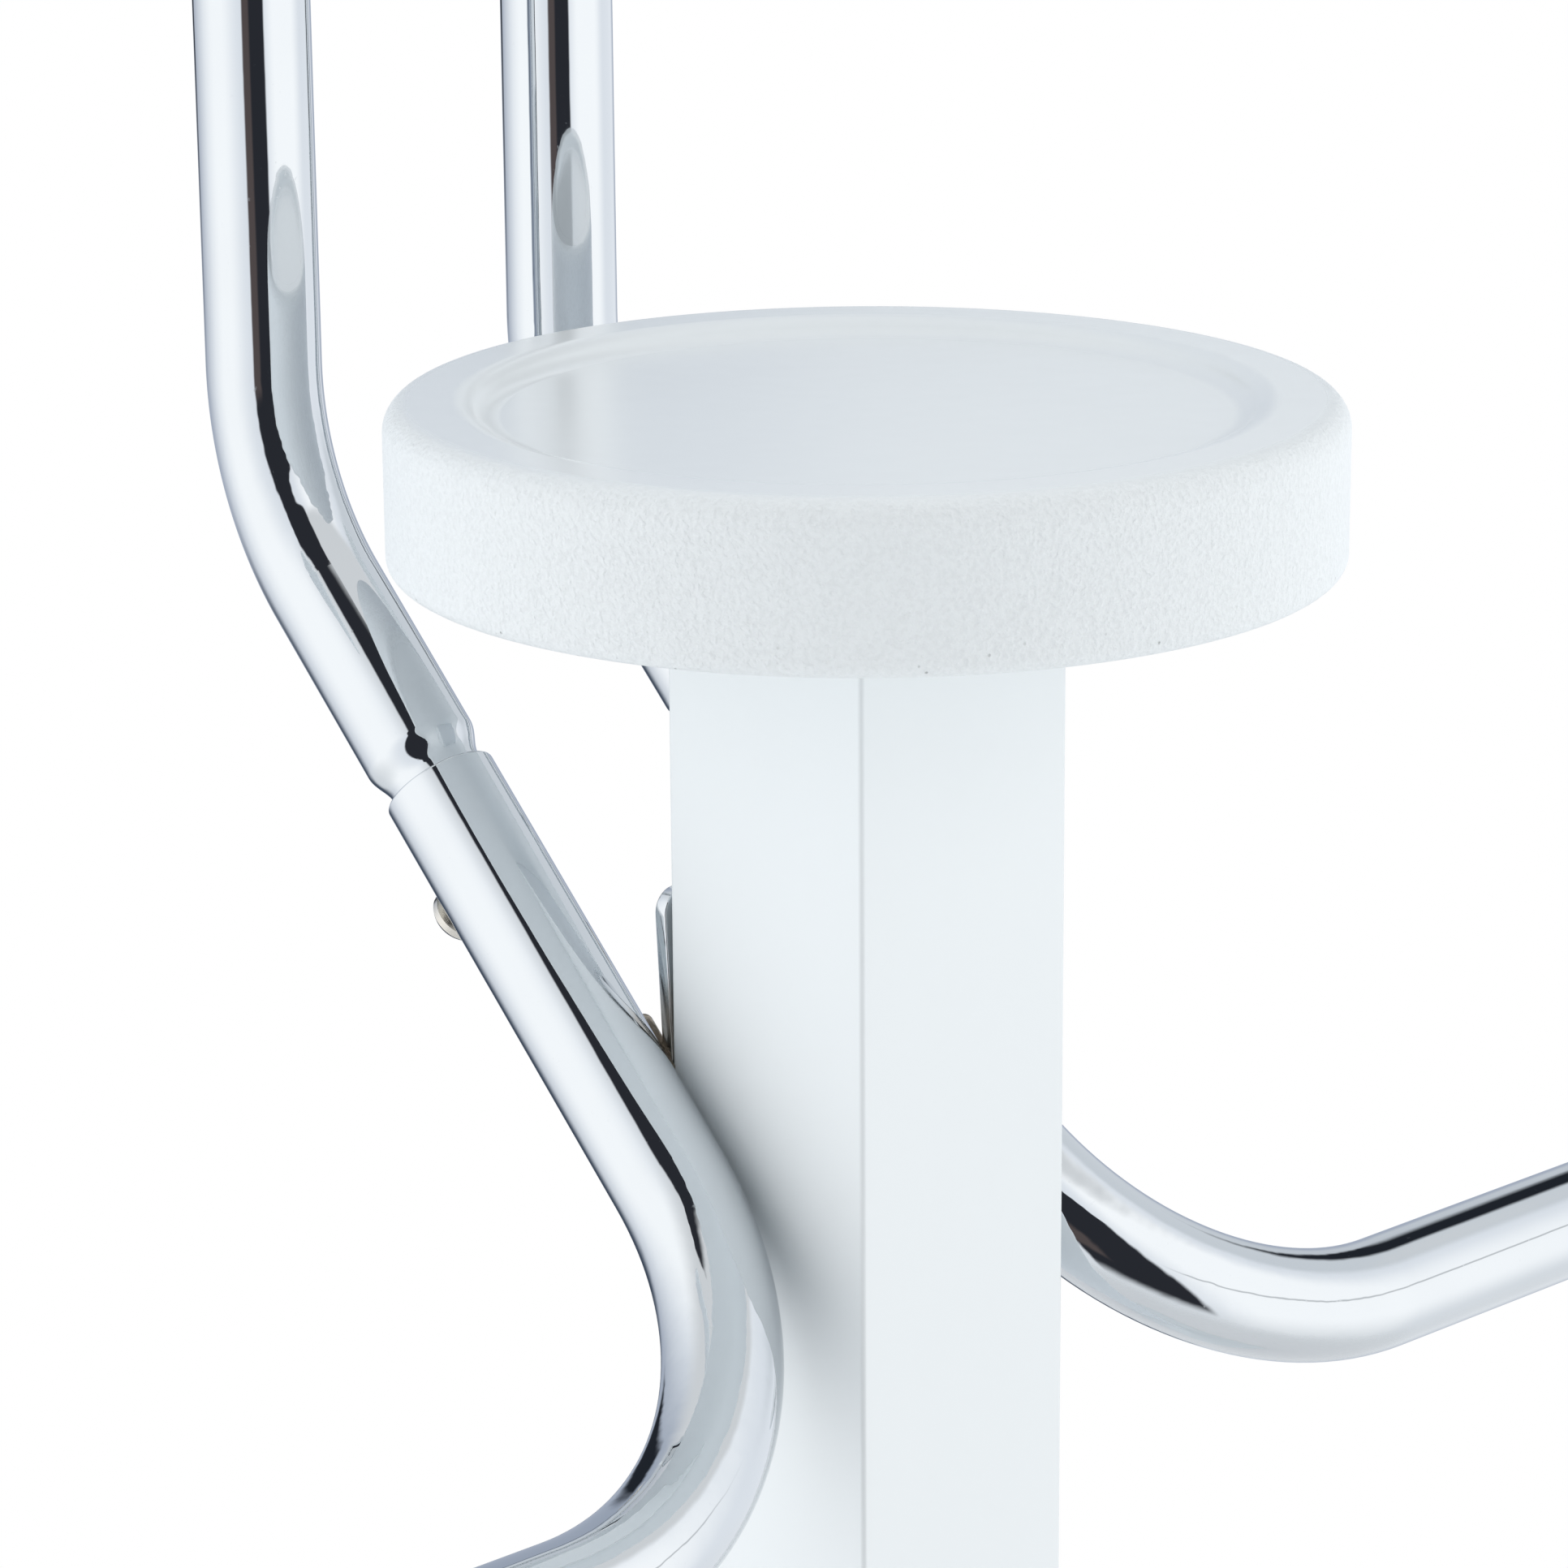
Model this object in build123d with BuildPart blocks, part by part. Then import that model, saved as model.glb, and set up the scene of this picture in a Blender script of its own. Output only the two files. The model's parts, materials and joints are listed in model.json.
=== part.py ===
"""Valet stand: a square post with a dish on top, on a floor board, and a chrome tube frame with a hanger."""

import os
from math import asin, cos, degrees, radians, sin, sqrt, tan

from build123d import *

os.makedirs("parts", exist_ok=True)

# ---------------------------------------------------------------- driving dimensions (mm, degrees)
# The frame's origin is on the floor, under the middle of the board. +X is the right arm, -Y the front.

DISH_HEIGHT = 880.0          # floor to the rim of the dish
CROWN_ABOVE_DISH = 220.0     # rim of the dish to the top of the tube crown

# floor board and glides
BOARD_WIDTH = 420.0
BOARD_DEPTH = 320.0
BOARD_THICKNESS = 25.0
BOARD_CORNER_RADIUS = 45.0
BOARD_TOP_ROUND = 4.0
BOARD_BOTTOM_ROUND = 1.0
GLIDE_DIAMETER = 32.0
GLIDE_HEIGHT = 5.0
GLIDE_ROUND = 1.5
GLIDE_INSET = 38.0           # glide centre to each edge of the board
NAIL_DIAMETER = 2.4
NAIL_LENGTH = 16.0
NAIL_HEAD_DIAMETER = 9.0
NAIL_HEAD_HEIGHT = 1.2
NAIL_HEAD_COVER = 2.0        # glide material under the nail's head

# post
POST_SIDE = 44.0
POST_SET_FORWARD = 30.0      # post axis ahead of the middle of the board
POST_EDGE_ROUND = 0.8

# dish
DISH_DIAMETER = 148.0
DISH_THICKNESS = 26.0
DISH_TOP_ROUND = 4.5
DISH_BOTTOM_ROUND = 2.4
DISH_RIM_WIDTH = 12.5
DISH_RECESS_DEPTH = 2.6
DISH_RECESS_SLOPE = 3.6      # width of the soft step between rim and recess

# chrome tubes
TUBE_DIAMETER = 19.0
TUBE_WALL = 1.5
TUBE_GAP = 0.5               # tube to the side of the post
UPRIGHT_SET_BACK = 110.0     # uprights behind the post axis
ARM_SET_FORWARD = 30.0       # arms ahead of the post axis
ARM_DROP = 163.0             # arms below the rim of the dish
ARM_REACH = 207.0            # middle of the stand to the end of each arm tube
DIAGONAL_TILT = 46.0         # diagonals, from the vertical
UPPER_BEND_RADIUS = 50.0
LOWER_BEND_RADIUS = 58.0
TUBE_LIP_ROUND = 0.45

# plug joints in the diagonals
JOINT_BELOW_BEND = 39.0      # end of the upper bend to the socket's lip
PLUG_DEPTH = 40.0
PLUG_CLEARANCE = 0.1
NECK_SHOWING = 1.5
SHOULDER_LENGTH = 5.5
JOINT_SCREW_BELOW_LIP = 18.0

# machine screws of the plug joints and the hanger
SCREW_DIAMETER = 5.0
SCREW_HEAD_DIAMETER = 10.0
SCREW_HEAD_HEIGHT = 4.4
SCREW_HEAD_EDGE = 1.4
SCREW_SOCKET_WIDTH = 3.5
SCREW_SOCKET_DEPTH = 2.0
SCREW_CLEARANCE = 0.15
WASHER_DIAMETER = 8.6
WASHER_THICKNESS = 1.0
NUT_DIAMETER = 8.0
NUT_HEIGHT = 3.6
SCREW_TIP_SHOWING = 0.5      # screw beyond its nut

# cross plate and its welds
PLATE_THICKNESS = 2.5
PLATE_HEIGHT = 62.0
PLATE_CORNER_RADIUS = 4.0
PLATE_LIP_HEIGHT = 24.0      # upper stretch that stands off the post
PLATE_LIP_LEAN = 3.5
PLATE_SCREW_INSET = 9.0      # screws to the ends of the plate's flat stretch
PLATE_SCREW_LENGTH = 34.0
PLATE_SCREW_DIAMETER = 4.8
PLATE_SCREW_HEAD_DIAMETER = 10.0
PLATE_SCREW_HEAD_HEIGHT = 2.8
WELD_RADIUS = 2.6
WELD_LENGTH = 20.0

# arm caps
CAP_STEP = 0.1               # rim of the tube beyond the rim of its cap
CAP_DOME_HEIGHT = 4.5
CAP_EDGE = 1.2
CAP_SPIGOT_LENGTH = 14.0
CAP_CLEARANCE = 0.1

# hanger
HANGER_SPAN = 410.0          # between the middles of its two end faces
HANGER_DROP = 58.0           # middle to end, downwards
HANGER_SWEEP_FORWARD = 34.0  # middle to end, forwards
HANGER_HEIGHT_MIDDLE = 34.0
HANGER_HEIGHT_END = 22.0
HANGER_DEPTH_MIDDLE = 24.0
HANGER_DEPTH_END = 42.0
HANGER_ROUND_MIDDLE = 9.0
HANGER_ROUND_END = 8.0
HANGER_TIP_ROUND = 6.0
HANGER_BELOW_CROWN = 38.0    # top of the hanger below the top of the crown
SADDLE_THICKNESS = 3.0       # tube to hanger at its middle
SADDLE_WRAP = 3.0            # how far a saddle reaches round its tube
SADDLE_WIDTH = 16.0
SADDLE_HEIGHT = 20.0
HANGER_THREAD_LENGTH = 14.0

# threaded inserts, bolts and dowels inside the wooden pieces
INSERT_DIAMETER = 12.0
INSERT_LENGTH = 18.0
SMALL_INSERT_DIAMETER = 8.0
BOLT_DIAMETER = 8.0
BOLT_HEAD_DIAMETER = 13.0
BOLT_HEAD_HEIGHT = 5.0
BOLT_SOCKET_WIDTH = 5.0
BOLT_SOCKET_DEPTH = 3.0
BOLT_WASHER_DIAMETER = 17.0
BOLT_WASHER_THICKNESS = 1.6
BOLT_SPACING = 22.0
BOLT_THREAD_LENGTH = 16.0
COUNTERBORE_DIAMETER = 19.0
COUNTERBORE_DEPTH = 9.0
STUD_LENGTH = 26.0
DISH_INSERT_LENGTH = 15.0
DOWEL_DIAMETER = 6.0
DOWEL_LENGTH = 24.0
DOWEL_SPACING = 30.0
DOWEL_END_ROUND = 0.8
HOLE_CLEARANCE = 0.05        # radial, round inserts, dowels and wood screws
HOLE_RUN_OUT = 1.0           # hole bottom beyond the end of what sits in it

# ---------------------------------------------------------------- places worked out from them

SIDES = {"left": -1, "right": 1}

board_bottom = GLIDE_HEIGHT
board_top = board_bottom + BOARD_THICKNESS
dish_bottom = DISH_HEIGHT - DISH_THICKNESS
dish_radius = DISH_DIAMETER / 2
post_y = -POST_SET_FORWARD
post_back = post_y + POST_SIDE / 2

tilt = radians(DIAGONAL_TILT)
tube_radius = TUBE_DIAMETER / 2
tube_bore = tube_radius - TUBE_WALL
plug_radius = tube_bore - PLUG_CLEARANCE
plug_bore = plug_radius - TUBE_WALL
tube_x = POST_SIDE / 2 + TUBE_GAP + tube_radius
upright_y = post_y + UPRIGHT_SET_BACK
arm_y = post_y - ARM_SET_FORWARD
arm_z = DISH_HEIGHT - ARM_DROP
crown_top = DISH_HEIGHT + CROWN_ABOVE_DISH
crown_z = crown_top - tube_radius - tube_x
upper_corner_z = arm_z + (UPRIGHT_SET_BACK + ARM_SET_FORWARD) / tan(tilt)

down = Vector(0, -sin(tilt), -cos(tilt))      # along the diagonals, down and forward
under = Vector(0, cos(tilt), -sin(tilt))      # square to them, out of their underside
lip_from_corner = UPPER_BEND_RADIUS * tan(tilt / 2) + JOINT_BELOW_BEND

plate_mid_y = post_back + PLATE_THICKNESS / 2
plate_mid_z = arm_z + (plate_mid_y - arm_y) / tan(tilt)
plate_bottom = plate_mid_z - PLATE_HEIGHT / 2
plate_top = plate_mid_z + PLATE_HEIGHT / 2
plate_lip_start = plate_top - PLATE_LIP_HEIGHT
plate_flat_mid = (plate_bottom + plate_lip_start) / 2
plate_screw_spacing = plate_lip_start - plate_bottom - 2 * PLATE_SCREW_INSET

hanger_back = upright_y - tube_radius - SADDLE_THICKNESS
hanger_top = crown_top - HANGER_BELOW_CROWN
hanger_middle = Vector(0, hanger_back - HANGER_DEPTH_MIDDLE / 2, hanger_top - HANGER_HEIGHT_MIDDLE / 2)
hanger_fall = Vector(0, -HANGER_SWEEP_FORWARD, -HANGER_DROP)
hanger_radius = (HANGER_SPAN ** 2 / 4 + hanger_fall.length ** 2) / (2 * hanger_fall.length)
fall_at_uprights = hanger_fall.normalized() * (hanger_radius - sqrt(hanger_radius ** 2 - tube_x ** 2))
hanger_seat_y = hanger_back + fall_at_uprights.Y
hanger_bolt_z = hanger_middle.Z + fall_at_uprights.Z


def upper_corner(side):
    """Where an upright and its diagonal would meet without the bend."""
    return Vector(side * tube_x, upright_y, upper_corner_z)


def lower_corner(side):
    """Where a diagonal and its arm would meet without the bend."""
    return Vector(side * tube_x, arm_y, arm_z)


def on_diagonal(side, below_lip):
    """A point on the axis of a diagonal, by its distance below the socket's lip."""
    return upper_corner(side) + down * (lip_from_corner + below_lip)


def across(point, direction):
    """The plane through a point and square to a direction."""
    return Plane(origin=point, z_dir=direction)


def finish(part, name):
    """Label a finished piece and write its STEP file."""
    part.label = name
    export_step(part, f"parts/{name}.step")


def domed_screw(head_diameter, head_height, shank_diameter, shank_length, socket_width, socket_depth, edge):
    """A socket screw on +Z, with the underside of its domed head at z = 0."""
    with BuildPart() as screw:
        with BuildSketch(Plane.XZ):
            with BuildLine():
                TangentArc((0, head_height), (head_diameter / 2, edge), tangent=(1, 0))
                Polyline(
                    (head_diameter / 2, edge),
                    (head_diameter / 2, 0),
                    (shank_diameter / 2, 0),
                    (shank_diameter / 2, -shank_length),
                    (0, -shank_length),
                    (0, head_height),
                )
            make_face()
        revolve(axis=Axis.Z)
        with BuildSketch(Plane.XY.offset(head_height)):
            RegularPolygon(socket_width / 2, side_count=6)
        extrude(amount=-socket_depth, mode=Mode.SUBTRACT)
    return screw.part


def ring(outer_diameter, inner_diameter, height):
    """A plain washer or sleeve on +Z, standing on z = 0."""
    with BuildPart() as sleeve:
        with BuildSketch():
            Circle(outer_diameter / 2)
            Circle(inner_diameter / 2, mode=Mode.SUBTRACT)
        extrude(amount=height)
    return sleeve.part


# ---------------------------------------------------------------- floor board, glides and nails

glide_grid = (BOARD_WIDTH - 2 * GLIDE_INSET, BOARD_DEPTH - 2 * GLIDE_INSET, 2, 2)
nail_head_z = NAIL_HEAD_COVER + NAIL_HEAD_HEIGHT
nail_top = nail_head_z + NAIL_LENGTH
bolt_hole_radius = BOLT_DIAMETER / 2 + SCREW_CLEARANCE
bolt_seat_z = board_bottom + COUNTERBORE_DEPTH

with BuildPart() as base_board:
    with BuildSketch(Plane.XY.offset(board_bottom)):
        RectangleRounded(BOARD_WIDTH, BOARD_DEPTH, BOARD_CORNER_RADIUS)
    extrude(amount=BOARD_THICKNESS)
    fillet(base_board.faces().sort_by(Axis.Z)[-1].edges(), radius=BOARD_TOP_ROUND)
    fillet(base_board.faces().sort_by(Axis.Z)[0].edges(), radius=BOARD_BOTTOM_ROUND)
    with Locations(Plane(origin=(0, post_y, board_bottom), z_dir=(0, 0, -1))):
        with GridLocations(BOLT_SPACING, 0, 2, 1):
            CounterBoreHole(bolt_hole_radius, COUNTERBORE_DIAMETER / 2, COUNTERBORE_DEPTH)
    with BuildSketch(Plane.XY.offset(board_bottom)):
        with GridLocations(*glide_grid):
            Circle(NAIL_DIAMETER / 2 + HOLE_CLEARANCE)
    extrude(amount=nail_top - board_bottom + HOLE_RUN_OUT, mode=Mode.SUBTRACT)
finish(base_board.part, "base_board")

with BuildPart() as floor_glides:
    with BuildSketch():
        with GridLocations(*glide_grid):
            Circle(GLIDE_DIAMETER / 2)
    extrude(amount=GLIDE_HEIGHT)
    fillet(floor_glides.edges().group_by(Axis.Z)[0], radius=GLIDE_ROUND)
    with BuildSketch(Plane.XY.offset(NAIL_HEAD_COVER)):
        with GridLocations(*glide_grid):
            Circle(NAIL_HEAD_DIAMETER / 2)
    extrude(amount=NAIL_HEAD_HEIGHT, mode=Mode.SUBTRACT)
    with BuildSketch(Plane.XY.offset(nail_head_z)):
        with GridLocations(*glide_grid):
            Circle(NAIL_DIAMETER / 2)
    extrude(amount=GLIDE_HEIGHT - nail_head_z, mode=Mode.SUBTRACT)
finish(floor_glides.part, "floor_glides")

with BuildPart() as glide_nails:
    with BuildSketch(Plane.XY.offset(NAIL_HEAD_COVER)):
        with GridLocations(*glide_grid):
            Circle(NAIL_HEAD_DIAMETER / 2)
    extrude(amount=NAIL_HEAD_HEIGHT)
    with BuildSketch(Plane.XY.offset(nail_head_z)):
        with GridLocations(*glide_grid):
            Circle(NAIL_DIAMETER / 2)
    extrude(amount=NAIL_LENGTH)
finish(glide_nails.part, "glide_nails")

# ---------------------------------------------------------------- post and what fixes it to the board

insert_hole_radius = INSERT_DIAMETER / 2 + HOLE_CLEARANCE
insert_hole_depth = INSERT_LENGTH + HOLE_RUN_OUT
dowel_hole_radius = DOWEL_DIAMETER / 2 + HOLE_CLEARANCE
dowel_hole_depth = DOWEL_LENGTH / 2 + HOLE_RUN_OUT
post_bottom_plane = Plane(origin=(0, post_y, board_top), z_dir=(0, 0, -1))
post_top_plane = Plane(origin=(0, post_y, dish_bottom))
plate_plane = Plane(origin=(0, post_back, plate_mid_z), x_dir=(1, 0, 0), z_dir=(0, 1, 0))
plate_screw_plane = Plane(origin=(0, post_back, plate_flat_mid), x_dir=(1, 0, 0), z_dir=(0, 1, 0))
plate_screw_grip = PLATE_SCREW_LENGTH - PLATE_THICKNESS

with BuildPart() as post:
    with BuildSketch(Plane(origin=(0, post_y, board_top))):
        Rectangle(POST_SIDE, POST_SIDE)
    extrude(amount=dish_bottom - board_top)
    fillet(post.edges().filter_by(Axis.Z), radius=POST_EDGE_ROUND)
    with Locations(post_bottom_plane):
        with GridLocations(BOLT_SPACING, 0, 2, 1):
            Hole(insert_hole_radius, depth=insert_hole_depth)
    with Locations(post_top_plane):
        Hole(insert_hole_radius, depth=insert_hole_depth)
        with GridLocations(DOWEL_SPACING, 0, 2, 1):
            Hole(dowel_hole_radius, depth=dowel_hole_depth)
    with Locations(plate_screw_plane):
        with GridLocations(0, plate_screw_spacing, 1, 2):
            Hole(PLATE_SCREW_DIAMETER / 2 + HOLE_CLEARANCE, depth=plate_screw_grip + HOLE_RUN_OUT)
finish(post.part, "post")

with BuildPart() as base_inserts:
    with Locations(Plane(origin=(0, post_y, board_top))):
        with GridLocations(BOLT_SPACING, 0, 2, 1):
            add(ring(INSERT_DIAMETER, BOLT_DIAMETER, INSERT_LENGTH))
finish(base_inserts.part, "base_inserts")

bolt_head_plane = Plane(origin=(0, post_y, bolt_seat_z - BOLT_WASHER_THICKNESS), z_dir=(0, 0, -1))
bolt_length = board_top + BOLT_THREAD_LENGTH - bolt_seat_z + BOLT_WASHER_THICKNESS
post_bolt = domed_screw(
    BOLT_HEAD_DIAMETER, BOLT_HEAD_HEIGHT, BOLT_DIAMETER, bolt_length,
    BOLT_SOCKET_WIDTH, BOLT_SOCKET_DEPTH, BOLT_HEAD_HEIGHT / 2,
)

with BuildPart() as base_bolts:
    with Locations(bolt_head_plane):
        with GridLocations(BOLT_SPACING, 0, 2, 1):
            add(post_bolt)
finish(base_bolts.part, "base_bolts")

with BuildPart() as base_washers:
    with Locations(bolt_head_plane):
        with GridLocations(BOLT_SPACING, 0, 2, 1):
            add(ring(BOLT_WASHER_DIAMETER, 2 * bolt_hole_radius, -BOLT_WASHER_THICKNESS))
finish(base_washers.part, "base_washers")

# ---------------------------------------------------------------- dish and what fixes it to the post

recess_radius = dish_radius - DISH_RIM_WIDTH
recess_floor_z = DISH_HEIGHT - DISH_RECESS_DEPTH
recess_floor_radius = recess_radius - DISH_RECESS_SLOPE

with BuildPart() as dish:
    with BuildSketch(Plane(origin=(0, post_y, 0), x_dir=(1, 0, 0), z_dir=(0, -1, 0))):
        with BuildLine():
            Polyline(
                (0, dish_bottom),
                (dish_radius - DISH_BOTTOM_ROUND, dish_bottom),
            )
            TangentArc(
                (dish_radius - DISH_BOTTOM_ROUND, dish_bottom),
                (dish_radius, dish_bottom + DISH_BOTTOM_ROUND),
                tangent=(1, 0),
            )
            Line((dish_radius, dish_bottom + DISH_BOTTOM_ROUND), (dish_radius, DISH_HEIGHT - DISH_TOP_ROUND))
            TangentArc(
                (dish_radius, DISH_HEIGHT - DISH_TOP_ROUND),
                (dish_radius - DISH_TOP_ROUND, DISH_HEIGHT),
                tangent=(0, 1),
            )
            Line((dish_radius - DISH_TOP_ROUND, DISH_HEIGHT), (recess_radius, DISH_HEIGHT))
            Spline(
                (recess_radius, DISH_HEIGHT),
                (recess_floor_radius, recess_floor_z),
                tangents=((-1, 0), (-1, 0)),
            )
            Polyline((recess_floor_radius, recess_floor_z), (0, recess_floor_z), (0, dish_bottom))
        make_face()
    revolve(axis=Axis((0, post_y, 0), (0, 0, 1)))
    with Locations(Plane(origin=(0, post_y, dish_bottom), z_dir=(0, 0, -1))):
        Hole(insert_hole_radius, depth=DISH_INSERT_LENGTH + HOLE_RUN_OUT)
        with GridLocations(DOWEL_SPACING, 0, 2, 1):
            Hole(dowel_hole_radius, depth=dowel_hole_depth)
finish(dish.part, "dish")

with BuildPart() as dish_insert:
    with Locations(post_top_plane):
        add(ring(INSERT_DIAMETER, BOLT_DIAMETER, DISH_INSERT_LENGTH))
finish(dish_insert.part, "dish_insert")

with BuildPart() as post_insert:
    with Locations(post_top_plane):
        add(ring(INSERT_DIAMETER, BOLT_DIAMETER, -INSERT_LENGTH))
finish(post_insert.part, "post_insert")

with BuildPart() as dish_stud:
    with BuildSketch(post_top_plane):
        Circle(BOLT_DIAMETER / 2)
    extrude(amount=STUD_LENGTH / 2, both=True)
finish(dish_stud.part, "dish_stud")

with BuildPart() as dish_dowels:
    with BuildSketch(post_top_plane):
        with GridLocations(DOWEL_SPACING, 0, 2, 1):
            Circle(DOWEL_DIAMETER / 2)
    extrude(amount=DOWEL_LENGTH / 2, both=True)
    fillet(dish_dowels.edges().group_by(Axis.Z)[0], radius=DOWEL_END_ROUND)
    fillet(dish_dowels.edges().group_by(Axis.Z)[-1], radius=DOWEL_END_ROUND)
finish(dish_dowels.part, "dish_dowels")

# ---------------------------------------------------------------- lower tubes: socket, diagonal, bend and arm

screw_hole_radius = SCREW_DIAMETER / 2 + SCREW_CLEARANCE

for hand, side in SIDES.items():
    arm_end = Vector(side * ARM_REACH, arm_y, arm_z)
    with BuildPart() as lower_tube:
        with BuildLine() as lower_path:
            FilletPolyline(on_diagonal(side, 0), lower_corner(side), arm_end, radius=LOWER_BEND_RADIUS)
        with BuildSketch(across(on_diagonal(side, 0), down)):
            Circle(tube_radius)
            Circle(tube_bore, mode=Mode.SUBTRACT)
        sweep(path=lower_path.line)
        lip = lower_tube.faces().sort_by_distance(on_diagonal(side, 0))[0]
        fillet(lip.outer_wire().edges(), radius=TUBE_LIP_ROUND)
        with BuildSketch(across(on_diagonal(side, JOINT_SCREW_BELOW_LIP), under)):
            Circle(screw_hole_radius)
        extrude(amount=TUBE_DIAMETER, mode=Mode.SUBTRACT)
    finish(lower_tube.part, f"{hand}_lower_tube")

# ---------------------------------------------------------------- upper tube: crown, uprights, bends, plugs

plug_end = NECK_SHOWING + SHOULDER_LENGTH + PLUG_DEPTH

with BuildPart() as upper_tube:
    with BuildLine(Plane(origin=(0, upright_y, crown_z), x_dir=(1, 0, 0), z_dir=(0, -1, 0))) as crown_path:
        CenterArc((0, 0), tube_x, 0, 180)
    with BuildSketch(Plane(origin=(tube_x, upright_y, crown_z))):
        Circle(tube_radius)
        Circle(tube_bore, mode=Mode.SUBTRACT)
    sweep(path=crown_path.line)
    for side in SIDES.values():
        leg_top = Vector(side * tube_x, upright_y, crown_z)
        shoulder = on_diagonal(side, -NECK_SHOWING - SHOULDER_LENGTH)
        with BuildLine() as leg_path:
            FilletPolyline(leg_top, upper_corner(side), shoulder, radius=UPPER_BEND_RADIUS)
        with BuildSketch(Plane(origin=leg_top, z_dir=(0, 0, -1))):
            Circle(tube_radius)
            Circle(tube_bore, mode=Mode.SUBTRACT)
        sweep(path=leg_path.line)
        with BuildSketch(Plane(origin=shoulder, x_dir=(1, 0, 0), z_dir=under)):
            with BuildLine():
                Spline((tube_radius, 0), (plug_radius, SHOULDER_LENGTH), tangents=((0, 1), (0, 1)))
                Polyline(
                    (plug_radius, SHOULDER_LENGTH),
                    (plug_radius, plug_end),
                    (plug_bore, plug_end),
                    (plug_bore, SHOULDER_LENGTH),
                )
                Spline((plug_bore, SHOULDER_LENGTH), (tube_bore, 0), tangents=((0, -1), (0, -1)))
                Line((tube_bore, 0), (tube_radius, 0))
            make_face()
        revolve(axis=Axis(shoulder, down))
        with BuildSketch(across(on_diagonal(side, JOINT_SCREW_BELOW_LIP), under)):
            Circle(screw_hole_radius)
        extrude(amount=TUBE_DIAMETER, mode=Mode.SUBTRACT)
        with BuildSketch(across(Vector(side * tube_x, upright_y, hanger_bolt_z), (0, 1, 0))):
            Circle(screw_hole_radius)
        extrude(amount=TUBE_DIAMETER, both=True, mode=Mode.SUBTRACT)
finish(upper_tube.part, "upper_tube")

# ---------------------------------------------------------------- joint screws, washers and nuts

washer = ring(WASHER_DIAMETER, 2 * screw_hole_radius, WASHER_THICKNESS)
nut_seat = sqrt(plug_bore ** 2 - (NUT_DIAMETER / 2) ** 2)
joint_screw_length = WASHER_THICKNESS + tube_radius - nut_seat + NUT_HEIGHT + SCREW_TIP_SHOWING
joint_screw = domed_screw(
    SCREW_HEAD_DIAMETER, SCREW_HEAD_HEIGHT, SCREW_DIAMETER, joint_screw_length,
    SCREW_SOCKET_WIDTH, SCREW_SOCKET_DEPTH, SCREW_HEAD_EDGE,
)
crest_planes = [
    across(on_diagonal(side, JOINT_SCREW_BELOW_LIP) + under * tube_radius, under) for side in SIDES.values()
]

with BuildPart() as joint_washers:
    with Locations(*crest_planes):
        add(washer)
finish(joint_washers.part, "joint_washers")

with BuildPart() as joint_screws:
    with Locations(*[plane.offset(WASHER_THICKNESS) for plane in crest_planes]):
        add(joint_screw)
finish(joint_screws.part, "joint_screws")

with BuildPart() as joint_nuts:
    with Locations(*[plane.offset(nut_seat - tube_radius) for plane in crest_planes]):
        add(ring(NUT_DIAMETER, SCREW_DIAMETER, -NUT_HEIGHT))
finish(joint_nuts.part, "joint_nuts")

# ---------------------------------------------------------------- cross plate, its screws and welds

lip_out = PLATE_LIP_HEIGHT * tan(radians(PLATE_LIP_LEAN))
plate_outside = post_back + PLATE_THICKNESS

with BuildPart() as cross_plate:
    with BuildSketch(Plane.YZ):
        with BuildLine():
            Polyline(
                (post_back, plate_bottom),
                (plate_outside, plate_bottom),
                (plate_outside, plate_lip_start),
                (plate_outside + lip_out, plate_top),
                (post_back + lip_out, plate_top),
                (post_back, plate_lip_start),
                close=True,
            )
        make_face()
    extrude(amount=POST_SIDE / 2, both=True)
    with BuildSketch(plate_plane):
        RectangleRounded(POST_SIDE, PLATE_HEIGHT, PLATE_CORNER_RADIUS)
    extrude(amount=PLATE_THICKNESS + lip_out, mode=Mode.INTERSECT)
    with Locations(plate_screw_plane.offset(PLATE_THICKNESS)):
        with GridLocations(0, plate_screw_spacing, 1, 2):
            Hole(PLATE_SCREW_DIAMETER / 2 + SCREW_CLEARANCE)
finish(cross_plate.part, "cross_plate")

plate_screw = domed_screw(
    PLATE_SCREW_HEAD_DIAMETER, PLATE_SCREW_HEAD_HEIGHT, PLATE_SCREW_DIAMETER, PLATE_SCREW_LENGTH,
    SCREW_SOCKET_WIDTH, PLATE_SCREW_HEAD_HEIGHT / 2, PLATE_SCREW_HEAD_HEIGHT / 3,
)

with BuildPart() as plate_screws:
    with Locations(plate_screw_plane.offset(PLATE_THICKNESS)):
        with GridLocations(0, plate_screw_spacing, 1, 2):
            add(plate_screw)
finish(plate_screws.part, "plate_screws")

with BuildPart() as weld_beads:
    for side in SIDES.values():
        seam_middle = Vector(side * (POST_SIDE + TUBE_GAP) / 2, plate_mid_y, plate_mid_z)
        with BuildSketch(across(seam_middle, down)):
            Circle(WELD_RADIUS)
        extrude(amount=WELD_LENGTH / 2, both=True)
    fillet(weld_beads.edges().filter_by(GeomType.CIRCLE), radius=WELD_RADIUS / 2)
    for side in SIDES.values():
        with BuildSketch(across(on_diagonal(side, 0), down)):
            Circle(tube_radius)
        extrude(amount=(lower_corner(side) - on_diagonal(side, 0)).length, mode=Mode.SUBTRACT)
    with BuildSketch(plate_plane):
        Rectangle(2 * tube_x, 2 * WELD_LENGTH)
    extrude(amount=-POST_SIDE, mode=Mode.SUBTRACT)
    add(cross_plate.part, mode=Mode.SUBTRACT)
finish(weld_beads.part, "weld_beads")

# ---------------------------------------------------------------- arm caps

cap_radius = tube_radius - CAP_STEP

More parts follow.
